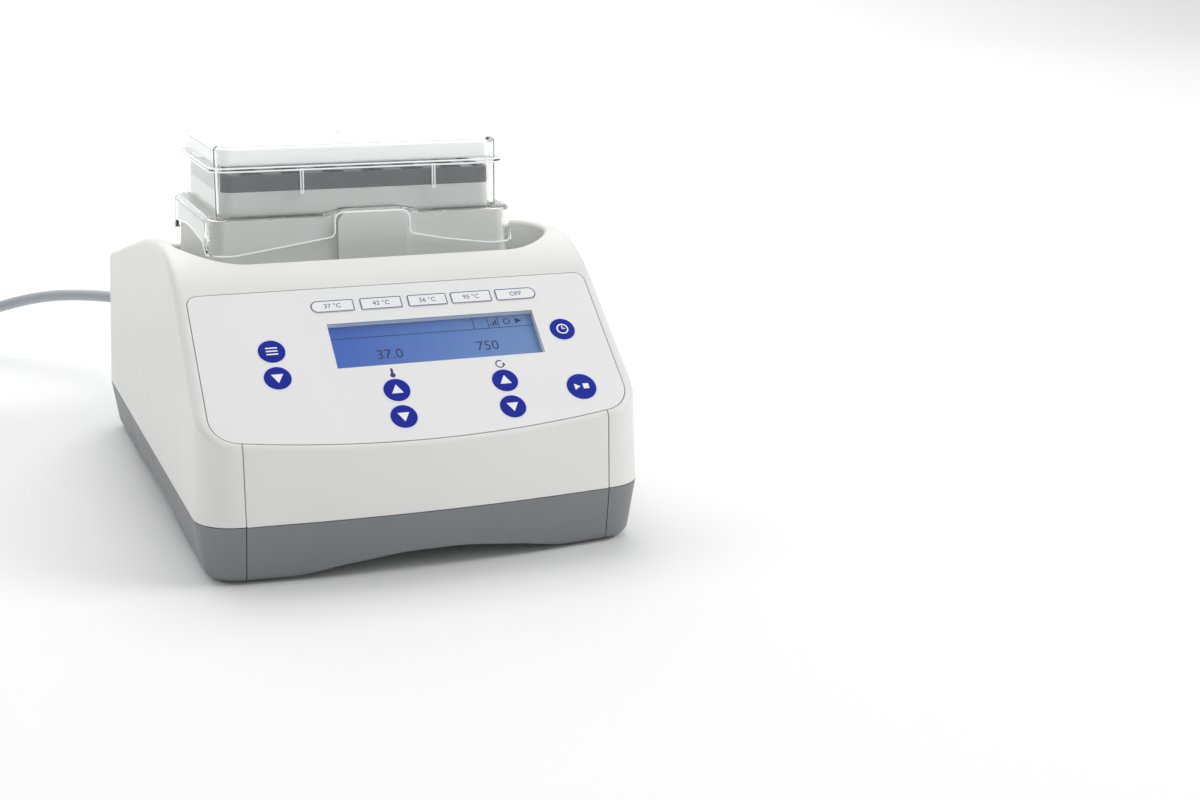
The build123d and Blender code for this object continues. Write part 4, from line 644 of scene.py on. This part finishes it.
class MIXER_OT_stage(Operator):
    """Camera, floor and soft studio light"""

    bl_idname = "mixer.stage"
    bl_label = "Stage"

    def execute(self, context):
        scene = context.scene
        data = bpy.data.cameras.new("studio_camera")
        data.sensor_width = SENSOR_WIDTH
        data.lens = FOCAL_SHARE * SENSOR_WIDTH
        data.clip_start = 0.02
        camera = bpy.data.objects.new("studio_camera", data)
        scene.collection.objects.link(camera)
        yaw, pitch, roll = CAMERA_YAW, CAMERA_PITCH, CAMERA_ROLL
        ahead = Vector((math.sin(yaw) * math.cos(pitch), math.cos(yaw) * math.cos(pitch), -math.sin(pitch)))
        right = Vector((math.cos(yaw), -math.sin(yaw), 0))
        up = right.cross(ahead)
        side = right * math.cos(roll) + up * math.sin(roll)
        top = -right * math.sin(roll) + up * math.cos(roll)
        turn = Matrix((side, top, -ahead)).transposed().to_4x4()
        camera.matrix_world = Matrix.Translation(Vector(CAMERA_PLACE) * MM) @ turn
        scene.camera = camera

        floor_material, tree = blank("Paper seamless white")
        paper = mottled(tree, linear("#F6F6F6"), 0.4, 0.01)
        finish(tree, {"Base Color": paper, "Roughness": 0.7, "Specular IOR Level": 0.2})
        mesh = bpy.data.meshes.new("studio_floor")
        grid = bmesh.new()
        profile = [(PAPER_FRONT_Y, 0.0), (SWEEP_Y, 0.0)]
        for i in range(1, 13):
            bend = math.radians(90 * i / 12)
            profile.append((SWEEP_Y + SWEEP_R * math.sin(bend), SWEEP_R * (1 - math.cos(bend))))
        profile.append((SWEEP_Y + SWEEP_R, 2 * SWEEP_R))
        sides = (-PAPER_HALF_WIDTH, PAPER_HALF_WIDTH)
        rows = [[grid.verts.new((x, y, z)) for x in sides] for y, z in profile]
        for low, high in zip(rows, rows[1:]):
            grid.faces.new((low[0], low[1], high[1], high[0]))
        grid.to_mesh(mesh)
        grid.free()
        mesh.shade_smooth()
        floor = bpy.data.objects.new("studio_floor", mesh)
        floor.data.materials.append(floor_material)
        scene.collection.objects.link(floor)

        for name, (place, size, power, aim) in LAMPS.items():
            light = bpy.data.lights.new(name, "AREA")
            light.shape = "RECTANGLE"
            light.size, light.size_y = size
            light.energy = power
            lamp = bpy.data.objects.new(name, light)
            scene.collection.objects.link(lamp)
            lamp.location = place
            lamp.rotation_euler = (Vector(aim) - Vector(place)).to_track_quat("-Z", "Y").to_euler()
        world = bpy.data.worlds.new("studio_world")
        world.use_nodes = True
        sky = world.node_tree.nodes["Background"]
        sky.inputs["Color"].default_value = (1.0, 1.0, 1.0, 1.0)
        sky.inputs["Strength"].default_value = WORLD_LIGHT
        scene.world = world
        scene.view_settings.view_transform = "Standard"
        return {"FINISHED"}


class MIXER_OT_materials(Operator):
    """Builds every finish from the colour settings"""

    bl_idname = "mixer.materials"
    bl_label = "Materials"

    def execute(self, context):
        MATERIALS.update(build_materials(context.scene.mixer_colours))
        return {"FINISHED"}


class MIXER_OT_lead(Operator):
    """Mains lead from the connector through its coil to the plug"""

    bl_idname = "mixer.lead"
    bl_label = "Mains lead"

    def execute(self, context):
        sizes = context.scene.mixer_sizes
        points = list(LEAD_ROUTE)
        outer, inner = COIL_R
        low, high = COIL_Z
        steps = COIL_TURNS * TURN_POINTS
        rise = TURN_POINTS // 4
        for i in range(1, 2 * steps + rise):
            angle = math.radians(90 + 360 * i / TURN_POINTS)
            if i <= steps:
                radius, z = outer + (inner - outer) * i / steps, low
            elif i <= steps + rise:
                radius, z = inner, low + (high - low) * (i - steps) / rise
            else:
                radius, z = inner + (outer - inner) * (i - steps - rise) / steps, high
            x, y = COIL_CENTRE
            points.append((x + radius * math.cos(angle), y + radius * math.sin(angle), z))
        points += TAIL_ROUTE
        curve = bpy.data.curves.new("mains_lead", "CURVE")
        curve.dimensions = "3D"
        curve.bevel_depth = sizes.lead_diameter / 2
        curve.bevel_resolution = 6
        curve.resolution_u = 6
        curve.use_fill_caps = True
        spline = curve.splines.new("NURBS")
        spline.points.add(len(points) - 1)
        for point, place in zip(spline.points, points):
            point.co = (*(value * MM for value in place), 1.0)
        spline.order_u = 3
        spline.use_endpoint_u = True
        lead = bpy.data.objects.new("mains_lead", curve)
        context.scene.collection.objects.link(lead)
        paint(lead, "lead")
        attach(lead, "housing")
        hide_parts("mains_cord", "cord_coil", "cord_tail")
        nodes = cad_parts
        for name in ("cord_connector", "connector_relief", "mains_plug"):
            paint(nodes[name], "lead")
            soften(name, 0.0006)
        paint(nodes["coil_tie"], "pbt")
        soften("coil_tie", 0.0003)
        return {"FINISHED"}


class MIXER_OT_housing(Operator):
    """White housing and front cover, grey base and skirt, feet and screws"""

    bl_idname = "mixer.housing"
    bl_label = "Housing and base"

    def execute(self, context):
        width = context.scene.mixer_sizes.edge_break
        finishes = {
            "upper_housing": "white",
            "front_fascia": "white",
            "base_pan": "grey",
            "front_skirt": "grey",
            "rubber_feet": "rubber",
            "base_screws": "steel",
            "well_tray": "well",
        }
        for name, key in finishes.items():
            paint(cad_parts[name], key)
            soften(name, width)
        return {"FINISHED"}


class MIXER_OT_keypad(Operator):
    """Keypad plate with the pale rings round its keys and the two symbols under the display"""

    bl_idname = "mixer.keypad"
    bl_label = "Keypad"

    def execute(self, context):
        sizes = context.scene.mixer_sizes
        paint(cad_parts["keypad_panel"], "film")
        soften("keypad_panel", 0.0002)
        for name, (x, s, radius) in ROUND_KEYS.items():
            slot = radius + KEY_GAP
            loops = [circle(slot + sizes.halo_width), circle(slot)]
            mesh = flat_shape("halo", loops, sizes.ink_height)
            mesh.transform(keypad_place(x, s, 0.0))
            piece_from(name.replace("key_", "halo_"), mesh, "halo", "housing")
        legends = (
            ("legend_temperature", thermometer(), "key_temp_up"),
            ("legend_speed", turning_arrow(), "key_speed_up"),
        )
        for name, loop, key in legends:
            mesh = flat_shape("legend", [loop], sizes.ink_height)
            mesh.transform(keypad_place(ROUND_KEYS[key][0], LEGEND_S, 0.0))
            piece_from(name, mesh, "ink", "housing")
        return {"FINISHED"}


class MIXER_OT_keys(Operator):
    """Thirteen keys with their printed symbols and numbers"""

    bl_idname = "mixer.keys"
    bl_label = "Keys"

    def execute(self, context):
        sizes = context.scene.mixer_sizes
        arrows = {"key_down": False, "key_temp_up": True, "key_temp_down": False,
                  "key_speed_up": True, "key_speed_down": False}
        for name, (x, s, radius) in ROUND_KEYS.items():
            paint(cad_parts[name], "blue")
            soften(name, 0.00012)
            if name in arrows:
                loops = [triangle(5.4, 4.7, arrows[name])]
            elif name == "key_menu":
                loops = [box_loop(-2.6, 2.6, y - LINE_W, y + LINE_W) for y in (-1.7, 0.0, 1.7)]
            elif name == "key_short":
                hands = [box_loop(-0.3, 0.3, -0.1, 1.7), box_loop(0.3, 1.4, -0.1, 0.4)]
                loops = [circle(2.9), circle(2.2), *hands]
            else:
                loops = [[(-3.4 * MM, -1.7 * MM), (-0.6 * MM, 0.0), (-3.4 * MM, 1.7 * MM)],
                         box_loop(0.7, 3.5, -1.4, 1.4)]
            mesh = flat_shape("symbol", loops, sizes.ink_height)
            mesh.transform(keypad_place(x, s, KEY_PROUD))
            piece_from(name.replace("key_", "symbol_"), mesh, "symbol", name + "_cap")
        ends = {"key_preset_1": "left", "key_preset_off": "right"}
        for name, (left, right, words) in PRESET_KEYS.items():
            paint(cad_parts[name], "pill")
            soften(name, 0.00012)
            middle = (left + right) / 2
            half_x, half_y = (right - left) / 2, PRESET_H / 2
            round_end = ends.get(name)
            left_r = half_y if round_end == "left" else PRESET_CORNER
            right_r = half_y if round_end == "right" else PRESET_CORNER
            radii = [left_r, right_r, right_r, left_r]
            edge = sizes.outline_width
            outer = rounded_loop(-half_x, half_x, -half_y, half_y, radii)
            thinner = [max(r - edge, 0.3) for r in radii]
            inner = rounded_loop(-half_x + edge, half_x - edge, -half_y + edge, half_y - edge, thinner)
            mesh = flat_shape("outline", [outer, inner], sizes.ink_height)
            mesh.transform(keypad_place(middle, PRESET_S, KEY_PROUD))
            piece_from(name.replace("key_", "outline_"), mesh, "ink", name + "_cap")
            mesh = flat_text("number", words, sizes.preset_letters, sizes.ink_height)
            mesh.transform(keypad_place(middle, PRESET_S, KEY_PROUD))
            piece_from(name.replace("key_", "number_"), mesh, "ink", name + "_cap")
        return {"FINISHED"}


class MIXER_OT_display(Operator):
    """Display window and the liquid crystal module with its numbers and lines"""

    bl_idname = "mixer.display"
    bl_label = "Display"

    def execute(self, context):
        sizes = context.scene.mixer_sizes
        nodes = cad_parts
        paint(nodes["display_window"], "window")
        paint(nodes["display_module"], "lcd")
        left, right = LCD_X
        low, high = LCD_S
        rule = high - STATUS_H
        lines = [box_loop(left, right, rule, rule + LINE_W)]
        lines += [box_loop(x, x + LINE_W, rule + LINE_W, high) for x in STATUS_LINES]
        # Small state marks at the right end: a level of three bars, a ring and a pointer.
        foot, middle = rule + 1.6, rule + 3.5
        lines += [box_loop(x, x + 0.8, foot, foot + 0.8 + rise) for x, rise in LEVEL_BARS]
        lines += [circle(radius, RING_X, middle) for radius in (1.7, 1.2)]
        pointer = ((0.0, -1.7), (3.2, 0.0), (0.0, 1.7))
        lines.append([((POINTER_X + x) * MM, (middle + y) * MM) for x, y in pointer])
        mesh = flat_shape("display_lines", lines, sizes.ink_height)
        mesh.transform(keypad_place(0, 0, -LCD_DEPTH))
        piece_from("display_lines", mesh, "segment", "housing")
        numbers = (("display_temperature", "37.0", -8.8, 42.3), ("display_speed", "750", 37.8, 42.8))
        for name, words, x, s in numbers:
            mesh = flat_text(name, words, sizes.display_letters, sizes.ink_height)
            mesh.transform(keypad_place(x, s, -LCD_DEPTH))
            piece_from(name, mesh, "segment", "housing")
        return {"FINISHED"}


class MIXER_OT_block(Operator):
    """Orbiting table, block body, collar and the bored metal block"""

    bl_idname = "mixer.block"
    bl_label = "Block"

    def execute(self, context):
        finishes = {
            "mixing_table": ("cast", 0.0006),
            "block_housing": ("body", 0.0006),
            "block_collar": ("collar", 0.0004),
            "heating_block": ("alu", 0.0003),
            "heater_plate": ("silicone", 0.0002),
            "temperature_sensor": ("steel", 0.0002),
            "table_bearings": ("steel", 0.0002),
        }
        for name, (key, width) in finishes.items():
            paint(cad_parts[name], key)
            soften(name, width)
        return {"FINISHED"}


class MIXER_OT_lid(Operator):
    """Clear lid with its insulating insert"""

    bl_idname = "mixer.lid"
    bl_label = "Lid"

    def execute(self, context):
        sizes = context.scene.mixer_sizes
        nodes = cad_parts
        paint(nodes["lid_cover"], "lid")
        soften("lid_cover", 0.0003)
        paint(nodes["lid_insert"], "foam")
        soften("lid_insert", 0.0005)
        # Glowing rods along the lid's outer edges: a painted highlight.
        edges = edge_highlight_rods("lid_highlight_rods", nodes["lid_cover"], outer_edge, sizes.lid_highlight_rod)
        piece_from("lid_highlight_rods", edges, "edge", "lid")
        return {"FINISHED"}


class MIXER_OT_rear(Operator):
    """Mains inlet, power switch and fuse drawer"""

    bl_idname = "mixer.rear"
    bl_label = "Rear fittings"

    def execute(self, context):
        finishes = {
            "mains_inlet": "pbt",
            "rocker_frame": "pbt",
            "power_rocker": "pbt",
            "fuse_holder": "pbt",
            "fuse_drawer": "pbt",
            "mains_fuses": "glass",
        }
        for name, key in finishes.items():
            paint(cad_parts[name], key)
            soften(name, 0.0003)
        return {"FINISHED"}


class MIXER_OT_inside(Operator):
    """Orbital drive, boards, switches and supply inside the housing"""

    bl_idname = "mixer.inside"
    bl_label = "Inside"

    def execute(self, context):
        finishes = {
            "drive_chassis": "cast",
            "main_bearings": "steel",
            "guide_bearings": "steel",
            "motor_stator": "copper",
            "motor_rotor": "steel",
            "drive_shaft": "steel",
            "counterweight": "steel",
            "guide_crank_1": "steel",
            "guide_crank_2": "steel",
            "guide_crank_3": "steel",
            "power_board": "board",
            "control_board": "board",
            "power_transformer": "resin",
            "key_switches": "pbt",
        }
        for name, key in finishes.items():
            paint(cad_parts[name], key)
        return {"FINISHED"}


class MIXER_PT_sidebar(Panel):
    """Builds the thermal mixer's finishes step by step"""

    bl_label = "Thermal Mixer"
    bl_idname = "MIXER_PT_sidebar"
    bl_space_type = "VIEW_3D"
    bl_region_type = "UI"
    bl_category = "Thermal Mixer"

    def draw(self, context):
        layout = self.layout
        for operator in STEPS:
            layout.operator(operator.bl_idname)
        for group in (context.scene.mixer_colours, context.scene.mixer_sizes):
            for name in group.__annotations__:
                layout.prop(group, name)


STEPS = (
    MIXER_OT_stage,
    MIXER_OT_materials,
    MIXER_OT_lead,
    MIXER_OT_housing,
    MIXER_OT_keypad,
    MIXER_OT_keys,
    MIXER_OT_display,
    MIXER_OT_block,
    MIXER_OT_lid,
    MIXER_OT_rear,
    MIXER_OT_inside,
)
CLASSES = (MixerColours, MixerSizes, *STEPS, MIXER_PT_sidebar)


def register():
    """Adds the classes and the settings to Blender."""
    for kind in CLASSES:
        bpy.utils.register_class(kind)
    bpy.types.Scene.mixer_colours = PointerProperty(type=MixerColours)
    bpy.types.Scene.mixer_sizes = PointerProperty(type=MixerSizes)


def unregister():
    """Takes them out again."""
    del bpy.types.Scene.mixer_sizes
    del bpy.types.Scene.mixer_colours
    for kind in reversed(CLASSES):
        bpy.utils.unregister_class(kind)


def main():
    """Runs every step in order."""
    register()
    for step in STEPS:
        group, name = step.bl_idname.split(".")
        getattr(getattr(bpy.ops, group), name)()


if __name__ == "__main__":
    main()
